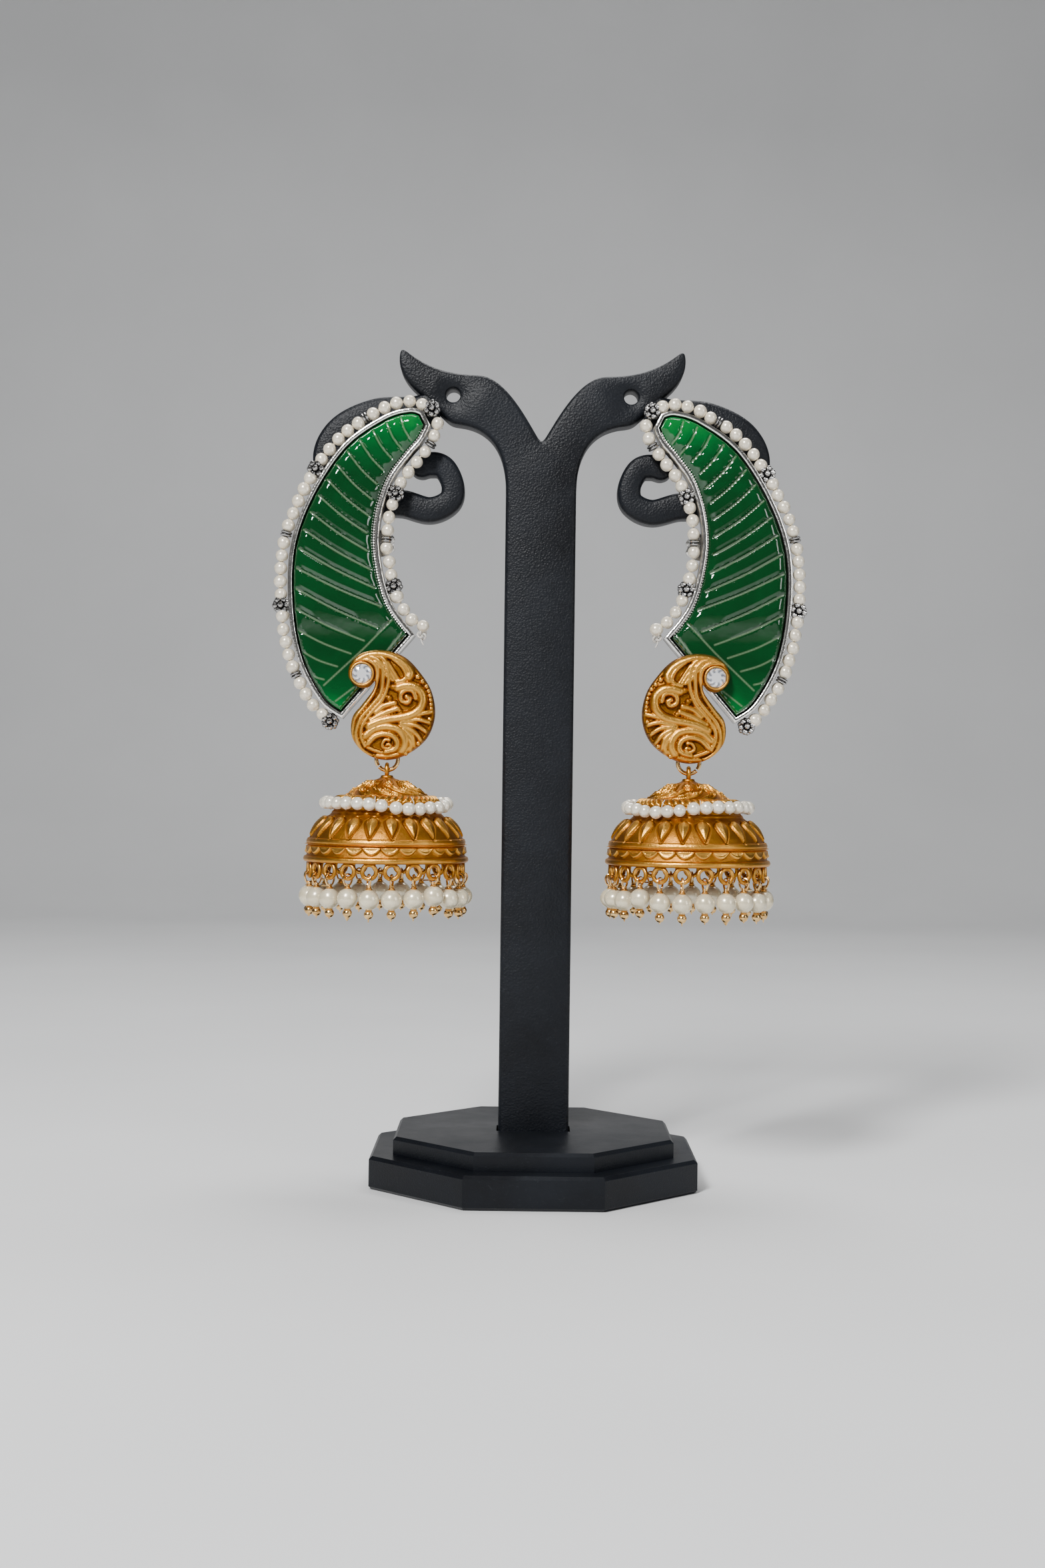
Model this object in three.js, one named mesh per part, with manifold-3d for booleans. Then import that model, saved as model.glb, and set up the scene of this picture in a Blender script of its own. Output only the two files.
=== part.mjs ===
// A pair of jhumka earrings hung on a plain black stand with two scrolled arms.
// Millimetres, +Z up. The front faces -Y, and the origin is the middle of the foot of the stand.
// An earring is drawn once for the side of +X, where X grows away from the column, and mirrored for -X.
import * as THREE from "three";
import { mergeVertices } from "three/addons/utils/BufferGeometryUtils.js";
import Module from "manifold-3d";

const wasm = await Module();
wasm.setup();

// Fits
const CLEARANCE = 0.3; // between pieces that touch on the real object

// Stand
const BASE_ACROSS = 60; // lower step, across its flats
const BASE_HEIGHT = 6.1;
const STEP_ACROSS = 51.4; // upper step, across its flats
const STEP_HEIGHT = 3.3;
const BASE_EDGE = 0.6; // chamfer on the steps' edges
const COLUMN_WIDTH = 13.2;
const STAND_THICKNESS = 5.6; // of the column and the arms
const TENON_DEPTH = 3; // of the column's foot in the base
const SPRING_HEIGHT = 119.6; // from the base to where the arms leave the column
const ARM_RISE = 12.6; // from there up to the arms' underside
const ARM_DEPTH = 9.3; // from the underside to the shoulder
const SHOULDER_REACH = 11.4;
const NOTCH_DEPTH = 12.8; // from the shoulder down into the fork
const TIP_REACH = 26.5;
const TIP_RISE = 5.1; // from the shoulder up to the tip
const CROOK_REACH = 22.5; // where the tip meets the back of the horn
const CROOK_DROP = 4.1; // from the shoulder down to the crook
const ARM_END = 17; // where the flat underside ends
const POST_HOLE = 2.8;
const POST_HOLE_REACH = 16.7;
const POST_HOLE_DROP = 3.9; // below the shoulder

// Horn of each arm, a band that curls round into a scroll
const HORN_REACH = 43;
const HORN_RISE = 23.5; // from the bottom of the scroll to the top of the horn
const HORN_WIDTH = 6;
const HORN_TOP_DROP = 4.2; // below the shoulder
const HORN_STEPS = 17;
// Shares of the reach and the rise at the middle of the band, and of its width.
const HORN = [
  { out: 0.33, up: 0.97, wide: 1.5 },
  { out: 0.53, up: 0.89, wide: 0.98 },
  { out: 0.72, up: 0.86, wide: 0.97 },
  { out: 0.87, up: 0.72, wide: 1 },
  { out: 0.93, up: 0.5, wide: 0.97 },
  { out: 0.865, up: 0.27, wide: 0.93 },
  { out: 0.72, up: 0.17, wide: 0.87 },
  { out: 0.6, up: 0.15, wide: 0.83 },
  { out: 0.485, up: 0.1, wide: 0.8 },
  { out: 0.4, up: 0.17, wide: 0.75 },
  { out: 0.386, up: 0.3, wide: 0.72 },
  { out: 0.425, up: 0.44, wide: 0.72 },
  { out: 0.49, up: 0.465, wide: 0.74 },
  { out: 0.565, up: 0.4, wide: 0.6 },
];

// Crescent of the earring: silver setting, carved stone and strung pearls
const CRESCENT_WIDTH = 26.2;
const CRESCENT_HEIGHT = 57.8;
const CRESCENT_INNER = 20.7; // from the column's middle to the innermost edge
const CRESCENT_FOOT = 86; // above the ground
const PLATE = 0.8;
const BEZEL_WIDTH = 0.9;
const BEZEL_HEIGHT = 2.9; // in front of the plate
const STONE_PROUD = 0.25; // beyond the bezel
const STONE_BEVEL = 1.4;
const OUTER_STEPS = 16;
const INNER_STEPS = 10;
// Shares of the width, from the inner side, and of the height.
const OUTER_EDGE = [
  { out: 0.6, up: 0 },
  { out: 0.76, up: 0.055 },
  { out: 0.92, up: 0.19 },
  { out: 0.99, up: 0.36 },
  { out: 0.98, up: 0.55 },
  { out: 0.85, up: 0.72 },
  { out: 0.62, up: 0.88 },
  { out: 0.34, up: 0.973 },
  { out: 0.15, up: 1 },
  { out: 0.05, up: 0.99 },
];
const INNER_EDGE = [
  { out: 0, up: 0.945 },
  { out: 0.05, up: 0.895 },
  { out: 0.15, up: 0.84 },
  { out: 0.27, up: 0.76 },
  { out: 0.345, up: 0.64 },
  { out: 0.345, up: 0.52 },
  { out: 0.26, up: 0.375 },
  { out: 0.09, up: 0.27 },
];
const STRING_THICKNESS = 2.2; // of the string of seed pearls, which is plain here
const STRING_SIDES = 8;
const STRING_STEP = 6;
const POST = 0.9; // ear post, behind the setting
const POST_LENGTH = 9;
const POST_REACH = 31.4;
const POST_HEIGHT = 119;
const CLUTCH_WIDTH = 9;
const CLUTCH_HEIGHT = 5.4;
const CLUTCH_THICKNESS = 2.2;
const HANGER = 1; // pin in the arm
const HANGER_OUT = 0.668; // shares of the crescent's width and height
const HANGER_UP = 0.782;

// Paisley below the crescent
const PAISLEY_WIDTH = 15.6;
const PAISLEY_HEIGHT = 20.2;
const PAISLEY_INNER = 19.1; // from the column's middle to the innermost edge
const PAISLEY_FOOT = 78.4; // above the ground
const PAISLEY_EDGE = 1; // thickness at the rim
const PAISLEY_DOME = 1.5; // height of the middle above the rim
const PAISLEY_BEVEL = 1.8; // width of the rounded rim
const PAISLEY_STEPS = 22;
// Shares of the width, from the inner side, and of the height.
const PAISLEY_OUTLINE = [
  { out: 0.714, up: 0.721 },
  { out: 0.79, up: 0.665 },
  { out: 0.9, up: 0.66 },
  { out: 1, up: 0.72 },
  { out: 1.03, up: 0.8 },
  { out: 0.985, up: 0.9 },
  { out: 0.842, up: 0.981 },
  { out: 0.6, up: 1 },
  { out: 0.36, up: 0.94 },
  { out: 0.176, up: 0.797 },
  { out: 0.043, up: 0.628 },
  { out: 0, up: 0.417 },
  { out: 0.075, up: 0.225 },
  { out: 0.242, up: 0.093 },
  { out: 0.462, up: 0.011 },
  { out: 0.67, up: 0.009 },
  { out: 0.866, up: 0.087 },
  { out: 0.979, up: 0.217 },
  { out: 0.975, up: 0.388 },
  { out: 0.86, up: 0.509 },
  { out: 0.733, up: 0.64 },
];
const RELIEF = 0.9; // thickness of the raised lines
const RELIEF_SIDES = 4;
// Raised lines of the casting, as shares of the paisley's width and height.
const RELIEF_LINES = [
  [[0.77, 0.6], [0.93, 0.42], [0.93, 0.24], [0.72, 0.09], [0.44, 0.1], [0.3, 0.27], [0.42, 0.42], [0.58, 0.32]],
  [[0.62, 0.72], [0.7, 0.52], [0.76, 0.34], [0.62, 0.2]],
  [[0.66, 0.9], [0.42, 0.86], [0.26, 0.7], [0.3, 0.56], [0.46, 0.58], [0.44, 0.7]],
];
const RELIEF_STEPS = 5;
const BEAD = 1.3; // in the row along the inner edge
const BEAD_COUNT = 7;
const BEAD_INSET = 0.9;
const BEAD_START = 0.36; // shares of the outline that the row of beads spans
const BEAD_END = 0.53;
const DIAMOND = 4.4; // across its setting
const DIAMOND_OUT = 0.865;
const DIAMOND_UP = 0.785;
const DIAMOND_HEIGHT = 1.3;

// Link between the paisley and the bell
const LINK_OUTER = 4.8;
const LINK_WIRE = 0.8;
const LINK_LIFT = 0.15; // of the link's middle above the paisley's foot
const STAPLE_WIRE = 0.76; // on the back of the paisley
const EYE_WIRE = 0.8; // on top of the bell
const HANG_REACH = 27.94; // from the column's middle to the bell's axis
const HANG_BEHIND = 1; // from the paisley's back to the bell's axis
const RING_SIDES = 10;
const WIRE_SIDES = 5;

// Bell
const BELL_RADIUS = 15;
const BELL_HEIGHT = 16; // from the rim to the knob
const BELL_WALL = 1.1;
const BELL_SIDES = 22;
const NECK_SHARE = 0.653; // of the bell's radius
// Outside of the bell from the knob to the rim, as shares of its radius and height.
const BELL_PROFILE = [
  { out: 0.06, up: 1 },
  { out: 0.15, up: 0.95 },
  { out: 0.43, up: 0.79 },
  { out: 0.585, up: 0.715 },
  { out: NECK_SHARE, up: 0.67 },
  { out: NECK_SHARE, up: 0.585 },
  { out: 0.78, up: 0.48 },
  { out: 0.9, up: 0.355 },
  { out: 0.96, up: 0.24 },
  { out: 0.952, up: 0.175 },
  { out: 1, up: 0.035 },
  { out: 0.996, up: 0 },
];
// The same for the hollow, from the rim to its roof, before the wall is taken off.
const BELL_HOLLOW = [
  { out: 0.996, up: 0 },
  { out: 0.945, up: 0.22 },
  { out: 0.9, up: 0.33 },
  { out: 0.78, up: 0.45 },
  { out: NECK_SHARE, up: 0.56 },
  { out: NECK_SHARE, up: 0.65 },
];
const ROOF_SHARE = 0.775;
const RING_PEARL = 2.36;
const RING_SECTION = 6;
const RING_STEPS = 16;
const RING_HEIGHT = 10.9; // of the ring of pearls above the rim
const DROPS = 22;
const EYELET_WIRE = 0.8;
const EYELET_RADIUS = 1.27; // to the middle of its wire
const EYELET_DROP = 1.4; // below the rim
const EYELET_STEPS = 3;
const EYELET_INSET = 0.75; // of the eyelets' plane from the bell's radius
const BAIL_WIRE = 0.44;
const BAIL_HANG = 1.75; // from the eyelet's middle line to the top of the pearl
const BAIL_STEPS = 5;
const DROP_PEARL = 3.8;
const DROP_LENGTH = 5.15; // from the end bead to the top of the pearl
const END_BEAD = 1.72;
const PEARL_SIDES = 10;
// Half of a drop's outline, from the bottom up, as shares of its length.
const DROP_PROFILE = [
  { bead: 1, up: 0.2 },
  { bead: 0.45, up: 0.34 },
  { pearl: 0.94, up: 0.5 },
  { pearl: 0.94, up: 0.77 },
];

// Depths, from the front of the arms towards the viewer
const ARM_FRONT = -STAND_THICKNESS / 2;
const PLATE_BACK = ARM_FRONT - CLEARANCE;
const PLATE_FRONT = PLATE_BACK - PLATE;
const BEZEL_FRONT = PLATE_FRONT - BEZEL_HEIGHT;
const STRING_DEPTH = (PLATE_BACK + BEZEL_FRONT) / 2;
const PAISLEY_BACK = BEZEL_FRONT - CLEARANCE - STONE_PROUD;
const PAISLEY_FRONT = PAISLEY_BACK - PAISLEY_EDGE;
const HANG_DEPTH = PAISLEY_BACK + HANG_BEHIND;

// Heights that follow from the sizes above
const STEP_TOP = BASE_HEIGHT + STEP_HEIGHT;
const SPRING_Z = STEP_TOP + SPRING_HEIGHT;
const UNDERSIDE_Z = SPRING_Z + ARM_RISE;
const SHOULDER_Z = UNDERSIDE_Z + ARM_DEPTH;
const LINK_RADIUS = (LINK_OUTER - LINK_WIRE) / 2;
const LINK_Z = PAISLEY_FOOT + LINK_LIFT;
const STAPLE_RADIUS = (LINK_WIRE + STAPLE_WIRE) / 2 + CLEARANCE;
const EYE_RADIUS = (LINK_WIRE + EYE_WIRE) / 2 + CLEARANCE;
const KNOB_Z = LINK_Z - LINK_RADIUS - EYE_RADIUS + EYE_WIRE / 4;
const RIM_Z = KNOB_Z - BELL_HEIGHT;
const DROP_RADIUS = BELL_RADIUS - EYELET_INSET;
const EYELET_Z = RIM_Z - EYELET_DROP;
const BAIL_RADIUS = (EYELET_WIRE + BAIL_WIRE) / 2 + CLEARANCE;
const PEARL_TOP = EYELET_Z - EYELET_RADIUS - BAIL_HANG;

const BLACK = new THREE.MeshStandardMaterial({ color: 0x15161a, roughness: 0.6, metalness: 0 });
const SILVER = new THREE.MeshStandardMaterial({ color: 0x8d8a84, roughness: 0.4, metalness: 1 });
const EMERALD = new THREE.MeshStandardMaterial({ color: 0x0d5a3c, roughness: 0.12, metalness: 0 });
const PEARL = new THREE.MeshStandardMaterial({ color: 0xf0e6d6, roughness: 0.25, metalness: 0 });
const GOLD = new THREE.MeshStandardMaterial({ color: 0xb8792f, roughness: 0.38, metalness: 1 });

// The geometry with its shared corners merged and its faces turned outwards, as a solid.
function solidOf(geometry) {
  const bare = geometry.clone();
  bare.deleteAttribute("normal");
  bare.deleteAttribute("uv");
  const merged = mergeVertices(bare, 1e-4);
  const triVerts = Uint32Array.from(merged.index.array);
  const vertProperties = merged.attributes.position.array;
  if (volumeOf(vertProperties, triVerts) < 0) triVerts.reverse();
  return new wasm.Manifold(new wasm.Mesh({ numProp: 3, vertProperties, triVerts }));
}

// Six times the volume inside the triangles, negative where they face inwards.
function volumeOf(places, triangles) {
  const corner = [new THREE.Vector3(), new THREE.Vector3(), new THREE.Vector3()];
  let volume = 0;
  for (let i = 0; i < triangles.length; i += 3) {
    corner.forEach((point, k) => point.fromArray(places, 3 * triangles[i + k]));
    volume += corner[0].dot(corner[1].cross(corner[2]));
  }
  return volume;
}

function geometryOf(solid) {
  const { vertProperties, triVerts } = solid.getMesh();
  const geometry = new THREE.BufferGeometry();
  geometry.setAttribute("position", new THREE.BufferAttribute(vertProperties, 3));
  geometry.setIndex(new THREE.BufferAttribute(triVerts, 1));
  geometry.computeVertexNormals();
  return geometry;
}

const joined = (solids) => solids.reduce((whole, solid) => whole.add(solid));

// A flat outline in X and Z, as thick as from the back depth to the front depth.
function slab(outline, back, front) {
  const geometry = new THREE.ExtrudeGeometry(new THREE.Shape(outline), {
    depth: back - front,
    bevelEnabled: false,
  });
  return solidOf(geometry.rotateX(Math.PI / 2).translate(0, back, 0));
}

// A round bar along Y.
function bar(diameter, sides, x, z, back, front) {
  const geometry = new THREE.CylinderGeometry(diameter / 2, diameter / 2, back - front, sides);
  return solidOf(geometry.translate(x, (back + front) / 2, z));
}

// A round wire along a smooth path through the points.
function wire(points, diameter, sides, steps) {
  return sweep(new THREE.CatmullRomCurve3(points), diameter, sides, steps);
}

// A thin wire bent at the points and straight between them.
function bentWire(points, diameter, steps) {
  return sweep(new THREE.CatmullRomCurve3(points, false, "catmullrom", 0), diameter, WIRE_SIDES, steps);
}

function sweep(path, diameter, sides, steps) {
  const corners = [];
  for (let i = 0; i < sides; i++) {
    const angle = (2 * Math.PI * i) / sides;
    corners.push(new THREE.Vector2(Math.cos(angle), Math.sin(angle)).multiplyScalar(diameter / 2));
  }
  const section = new THREE.Shape(corners);
  return solidOf(new THREE.ExtrudeGeometry(section, { steps, extrudePath: path, bevelEnabled: false }));
}

// A closed skin over rings of equal length, from the back ring to the front ring.
function loft(rings) {
  const count = rings[0].points.length;
  const places = rings.flatMap((ring) => ring.points.flatMap((p) => [p.x, ring.depth, p.y]));
  const faces = [];
  for (let ring = 0; ring + 1 < rings.length; ring++)
    for (let i = 0; i < count; i++) {
      const a = ring * count + i;
      const b = ring * count + ((i + 1) % count);
      faces.push(a, b, b + count, a, b + count, a + count);
    }
  const last = rings.length - 1;
  faces.push(...lid(rings[0].points, 0, -1), ...lid(rings[last].points, last * count, 1));
  const geometry = new THREE.BufferGeometry();
  geometry.setAttribute("position", new THREE.Float32BufferAttribute(places, 3));
  geometry.setIndex(faces);
  return solidOf(geometry);
}

// Triangles that fill an outline, turned the same way as it (1) or the other way (-1).
function lid(outline, first, way) {
  const turn = Math.sign(THREE.ShapeUtils.area(outline)) * way;
  return THREE.ShapeUtils.triangulateShape(outline, []).flatMap((face) => {
    const same = Math.sign(THREE.ShapeUtils.area(face.map((i) => outline[i]))) === turn;
    return (same ? face : [...face].reverse()).map((i) => i + first);
  });
}

// Distance from a point to the nearest edge of an outline.
function roomAt(point, outline) {
  const gaps = outline.map((start, i) => {
    const edge = outline[(i + 1) % outline.length].clone().sub(start);
    const along = THREE.MathUtils.clamp(point.clone().sub(start).dot(edge) / edge.lengthSq(), 0, 1);
    return point.distanceTo(start.clone().addScaledVector(edge, along));
  });
  return Math.min(...gaps);
}

// The outline moved inwards as far as each point of it has room, for the edge of a crown.
function crownEdge(outline, distance) {
  const moved = inset(outline, distance);
  return moved.map((point, i) => {
    const share = Math.min(1, roomAt(point, outline) / distance);
    return outline[i].clone().lerp(point, share * share);
  });
}

// The outline moved inwards by a distance, or outwards where the distance is negative.
function inset(outline, distance) {
  const turn = Math.sign(THREE.ShapeUtils.area(outline));
  return outline.map((point, i) => {
    const before = outline[(i + outline.length - 1) % outline.length];
    const after = outline[(i + 1) % outline.length];
    const arriving = point.clone().sub(before).normalize();
    const leaving = after.clone().sub(point).normalize();
    const inward = new THREE.Vector2(-arriving.y - leaving.y, arriving.x + leaving.x).normalize();
    const spread = Math.max(0.6, inward.x * -arriving.y + inward.y * arriving.x);
    return point.clone().addScaledVector(inward, (turn * distance) / spread);
  });
}

const at = (row, inner, foot, width, height) => new THREE.Vector2(inner + row.out * width, foot + row.up * height);

const crescentPoint = (row) => at(row, CRESCENT_INNER, CRESCENT_FOOT, CRESCENT_WIDTH, CRESCENT_HEIGHT);

const paisleyPoint = (row) => at(row, PAISLEY_INNER, PAISLEY_FOOT, PAISLEY_WIDTH, PAISLEY_HEIGHT);

function crescentOutline() {
  const outer = new THREE.SplineCurve(OUTER_EDGE.map(crescentPoint)).getSpacedPoints(OUTER_STEPS);
  const inner = new THREE.SplineCurve(INNER_EDGE.map(crescentPoint)).getSpacedPoints(INNER_STEPS);
  return [...outer, ...inner];
}

// Two stepped octagons with a slot for the column.
function standBase() {
  const profile = [
    [0, 0],
    [BASE_ACROSS / 2 - BASE_EDGE, 0],
    [BASE_ACROSS / 2, BASE_EDGE],
    [BASE_ACROSS / 2, BASE_HEIGHT - BASE_EDGE],
    [BASE_ACROSS / 2 - BASE_EDGE, BASE_HEIGHT],
    [STEP_ACROSS / 2, BASE_HEIGHT],
    [STEP_ACROSS / 2, STEP_TOP - BASE_EDGE],
    [STEP_ACROSS / 2 - BASE_EDGE, STEP_TOP],
    [0, STEP_TOP],
  ];
  const toCorner = 1 / Math.cos(Math.PI / 8);
  const points = profile.map(([r, z]) => new THREE.Vector2(r * toCorner, z));
  const steps = new THREE.LatheGeometry(points, 8, Math.PI / 8).rotateX(Math.PI / 2);
  const slotWidth = COLUMN_WIDTH + 2 * CLEARANCE;
  const slotThickness = STAND_THICKNESS + 2 * CLEARANCE;
  const slot = new THREE.BoxGeometry(slotWidth, slotThickness, 2 * (TENON_DEPTH + CLEARANCE));
  return solidOf(steps).subtract(solidOf(slot.translate(0, 0, STEP_TOP)));
}

// Half of the outline of the column and the two tips, from the fork down to the column's foot.
function armOutline() {
  const half = new THREE.Path();
  const notch = SHOULDER_Z - NOTCH_DEPTH;
  half.moveTo(0, notch);
  half.bezierCurveTo(
    0.21 * SHOULDER_REACH, notch + 0.29 * NOTCH_DEPTH,
    0.54 * SHOULDER_REACH, notch + 0.92 * NOTCH_DEPTH,
    SHOULDER_REACH, SHOULDER_Z,
  );
  half.quadraticCurveTo(0.78 * TIP_REACH, SHOULDER_Z - 0.06 * TIP_RISE, TIP_REACH, SHOULDER_Z + TIP_RISE);
  half.quadraticCurveTo(1.064 * TIP_REACH, SHOULDER_Z, CROOK_REACH, SHOULDER_Z - CROOK_DROP);
  half.lineTo(ARM_END, UNDERSIDE_Z);
  half.bezierCurveTo(
    COLUMN_WIDTH / 2 + 0.47 * (ARM_END - COLUMN_WIDTH / 2), UNDERSIDE_Z,
    COLUMN_WIDTH / 2, SPRING_Z + 0.79 * ARM_RISE,
    COLUMN_WIDTH / 2, SPRING_Z,
  );
  half.lineTo(COLUMN_WIDTH / 2, STEP_TOP - TENON_DEPTH);
  return half.getPoints(4);
}

// Outline of the band that curls from the arm into the scroll.
function hornOutline() {
  const foot = SHOULDER_Z - HORN_TOP_DROP - HORN_RISE;
  const rows = HORN.map((row) => {
    return new THREE.Vector3(row.out * HORN_REACH, foot + row.up * HORN_RISE, (row.wide * HORN_WIDTH) / 2);
  });
  const band = new THREE.CatmullRomCurve3(rows);
  const near = [];
  const far = [];
  for (let i = 0; i <= HORN_STEPS; i++) {
    const middle = band.getPoint(i / HORN_STEPS);
    const along = band.getTangent(i / HORN_STEPS);
    const across = new THREE.Vector2(-along.y, along.x).normalize();
    near.push(new THREE.Vector2(middle.x, middle.y).addScaledVector(across, middle.z));
    far.push(new THREE.Vector2(middle.x, middle.y).addScaledVector(across, -middle.z));
  }
  return [...near, ...far.reverse()];
}

function standArms() {
  const half = armOutline();
  const mirror = (point) => new THREE.Vector2(-point.x, point.y);
  const whole = [...half, ...half.slice(1).map(mirror).reverse()];
  const horn = hornOutline();
  let arms = slab(whole, -ARM_FRONT, ARM_FRONT);
  for (const side of [1, -1]) {
    const curl = side > 0 ? horn : horn.map(mirror);
    arms = arms.add(slab(curl, -ARM_FRONT, ARM_FRONT));
  }
  const through = STAND_THICKNESS;
  const hanger = crescentPoint({ out: HANGER_OUT, up: HANGER_UP });
  const holes = [
    [POST_HOLE, POST_HOLE_REACH, SHOULDER_Z - POST_HOLE_DROP],
    [HANGER + 2 * CLEARANCE, hanger.x, hanger.y],
  ];
  for (const [diameter, reach, height] of holes)
    for (const side of [1, -1])
      arms = arms.subtract(bar(diameter, 8, side * reach, height, through, -through));
  return arms;
}

// Silver back plate and bezel, with the ear post, its clutch and the pin in the arm soldered on.
function frame() {
  const outline = crescentOutline();
  const body = slab(outline, PLATE_BACK, BEZEL_FRONT);
  const pocket = slab(inset(outline, BEZEL_WIDTH), PLATE_FRONT, BEZEL_FRONT - 1);
  const overlap = PLATE / 2;
  const post = bar(POST, 8, POST_REACH, POST_HEIGHT, PLATE_BACK + POST_LENGTH, PLATE_BACK - overlap);
  const clutch = new THREE.CylinderGeometry(0.5, 0.5, CLUTCH_THICKNESS, 10);
  clutch.scale(CLUTCH_WIDTH, 1, CLUTCH_HEIGHT);
  clutch.translate(POST_REACH, PLATE_BACK + CLUTCH_THICKNESS / 2 + CLEARANCE, POST_HEIGHT);
  const hanger = crescentPoint({ out: HANGER_OUT, up: HANGER_UP });
  const pin = bar(HANGER, 8, hanger.x, hanger.y, STAND_THICKNESS / 2, PLATE_BACK - overlap);
  return joined([body.subtract(pocket), post, solidOf(clutch), pin]);
}

function stone() {
  const outline = inset(crescentOutline(), BEZEL_WIDTH + CLEARANCE);
  const crown = BEZEL_FRONT - STONE_PROUD;
  return loft([
    { points: outline, depth: PLATE_FRONT - CLEARANCE },
    { points: outline, depth: BEZEL_FRONT + STONE_PROUD },
    { points: crownEdge(outline, STONE_BEVEL), depth: crown },
  ]);
}

// Plain string for the seed pearls, in a run up the outer edge and a run down the inner edge.
function pearlString() {
  const away = STRING_THICKNESS / 2 + CLEARANCE;
  const route = inset(crescentOutline(), -away).map((p) => new THREE.Vector3(p.x, STRING_DEPTH, p.y));
  const runs = [route.slice(0, OUTER_STEPS + 1), route.slice(OUTER_STEPS)];
  const tubes = runs.map((points) => {
    const steps = Math.ceil(new THREE.CatmullRomCurve3(points).getLength() / STRING_STEP);
    return wire(points, STRING_THICKNESS, STRING_SIDES, steps);
  });
  return joined(tubes);
}

// Cast paisley with raised lines, a row of beads, a small set diamond and a staple at its back.
function paisley() {
  const outline = new THREE.SplineCurve([...PAISLEY_OUTLINE, PAISLEY_OUTLINE[0]].map(paisleyPoint));
  const edge = outline.getSpacedPoints(PAISLEY_STEPS).slice(0, -1);
  const body = loft([
    { points: edge, depth: PAISLEY_BACK },
    { points: edge, depth: PAISLEY_FRONT },
    { points: crownEdge(edge, PAISLEY_BEVEL), depth: PAISLEY_FRONT - PAISLEY_DOME },
  ]);
  const surface = PAISLEY_FRONT - 0.8 * PAISLEY_DOME;
  const lines = RELIEF_LINES.map((line) => {
    const points = line.map(([out, up]) => {
      const p = paisleyPoint({ out, up });
      return new THREE.Vector3(p.x, surface, p.y);
    });
    return wire(points, RELIEF, RELIEF_SIDES, RELIEF_STEPS);
  });
  const row = new THREE.SplineCurve(inset(edge, BEAD_INSET));
  const beads = [];
  for (let i = 0; i < BEAD_COUNT; i++) {
    const share = BEAD_START + ((BEAD_END - BEAD_START) * i) / (BEAD_COUNT - 1);
    const place = row.getPointAt(share);
    const bead = new THREE.IcosahedronGeometry(BEAD / 2);
    beads.push(solidOf(bead.translate(place.x, PAISLEY_FRONT - 0.2 * BEAD, place.y)));
  }
  return joined([body, ...lines, ...beads, diamond(), staple()]);
}

// Round setting with a cut stone of a table and eight facets.
function diamond() {
  const middle = paisleyPoint({ out: DIAMOND_OUT, up: DIAMOND_UP });
  const setting = new THREE.CylinderGeometry(DIAMOND / 2, DIAMOND / 2, DIAMOND_HEIGHT + PAISLEY_EDGE, 10);
  const crown = new THREE.CylinderGeometry(0.22 * DIAMOND, 0.42 * DIAMOND, 0.3 * DIAMOND_HEIGHT, 8);
  setting.rotateX(Math.PI);
  setting.translate(0, -(DIAMOND_HEIGHT + PAISLEY_EDGE) / 2, 0);
  crown.rotateX(Math.PI);
  crown.translate(0, -DIAMOND_HEIGHT - PAISLEY_EDGE - 0.14 * DIAMOND_HEIGHT, 0);
  const place = [middle.x, PAISLEY_BACK, middle.y];
  return solidOf(setting.translate(...place)).add(solidOf(crown.translate(...place)));
}

// Ring across the link's top wire, sunk into the paisley's back.
function staple() {
  const ring = new THREE.TorusGeometry(STAPLE_RADIUS, STAPLE_WIRE / 2, WIRE_SIDES, RING_SIDES);
  ring.rotateY(Math.PI / 2);
  return solidOf(ring.translate(HANG_REACH, HANG_DEPTH, LINK_Z + LINK_RADIUS));
}

function linkRing() {
  const ring = new THREE.TorusGeometry(LINK_RADIUS, LINK_WIRE / 2, WIRE_SIDES, RING_SIDES);
  ring.rotateX(Math.PI / 2);
  return solidOf(ring.translate(HANG_REACH, HANG_DEPTH, LINK_Z));
}

const aroundBell = (geometry) => geometry.translate(HANG_REACH, HANG_DEPTH, 0);

// Hollow bell with its eye and the ring of eyelets along its rim.
function bell() {
  const outside = BELL_PROFILE.map((row) => {
    return new THREE.Vector2(row.out * BELL_RADIUS, RIM_Z + row.up * BELL_HEIGHT);
  });
  const inside = BELL_HOLLOW.map((row) => {
    return new THREE.Vector2(row.out * BELL_RADIUS - BELL_WALL, RIM_Z + row.up * BELL_HEIGHT);
  });
  const roof = new THREE.Vector2(0, RIM_Z + ROOF_SHARE * BELL_HEIGHT);
  const profile = [new THREE.Vector2(0, KNOB_Z), ...outside, ...inside, roof];
  const body = new THREE.LatheGeometry(profile, BELL_SIDES).rotateX(Math.PI / 2);
  const eye = new THREE.TorusGeometry(EYE_RADIUS, EYE_WIRE / 2, WIRE_SIDES, RING_SIDES);
  eye.rotateY(Math.PI / 2).translate(0, 0, LINK_Z - LINK_RADIUS);
  const parts = [solidOf(aroundBell(body)), solidOf(aroundBell(eye))];
  for (let i = 0; i < DROPS; i++) parts.push(eyelet(dropAngle(i)));
  return joined(parts);
}

// Angle of a drop from the bell's front, where two drops stand either side of the middle.
const dropAngle = (i) => (2 * Math.PI * (i + 0.5)) / DROPS;

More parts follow.
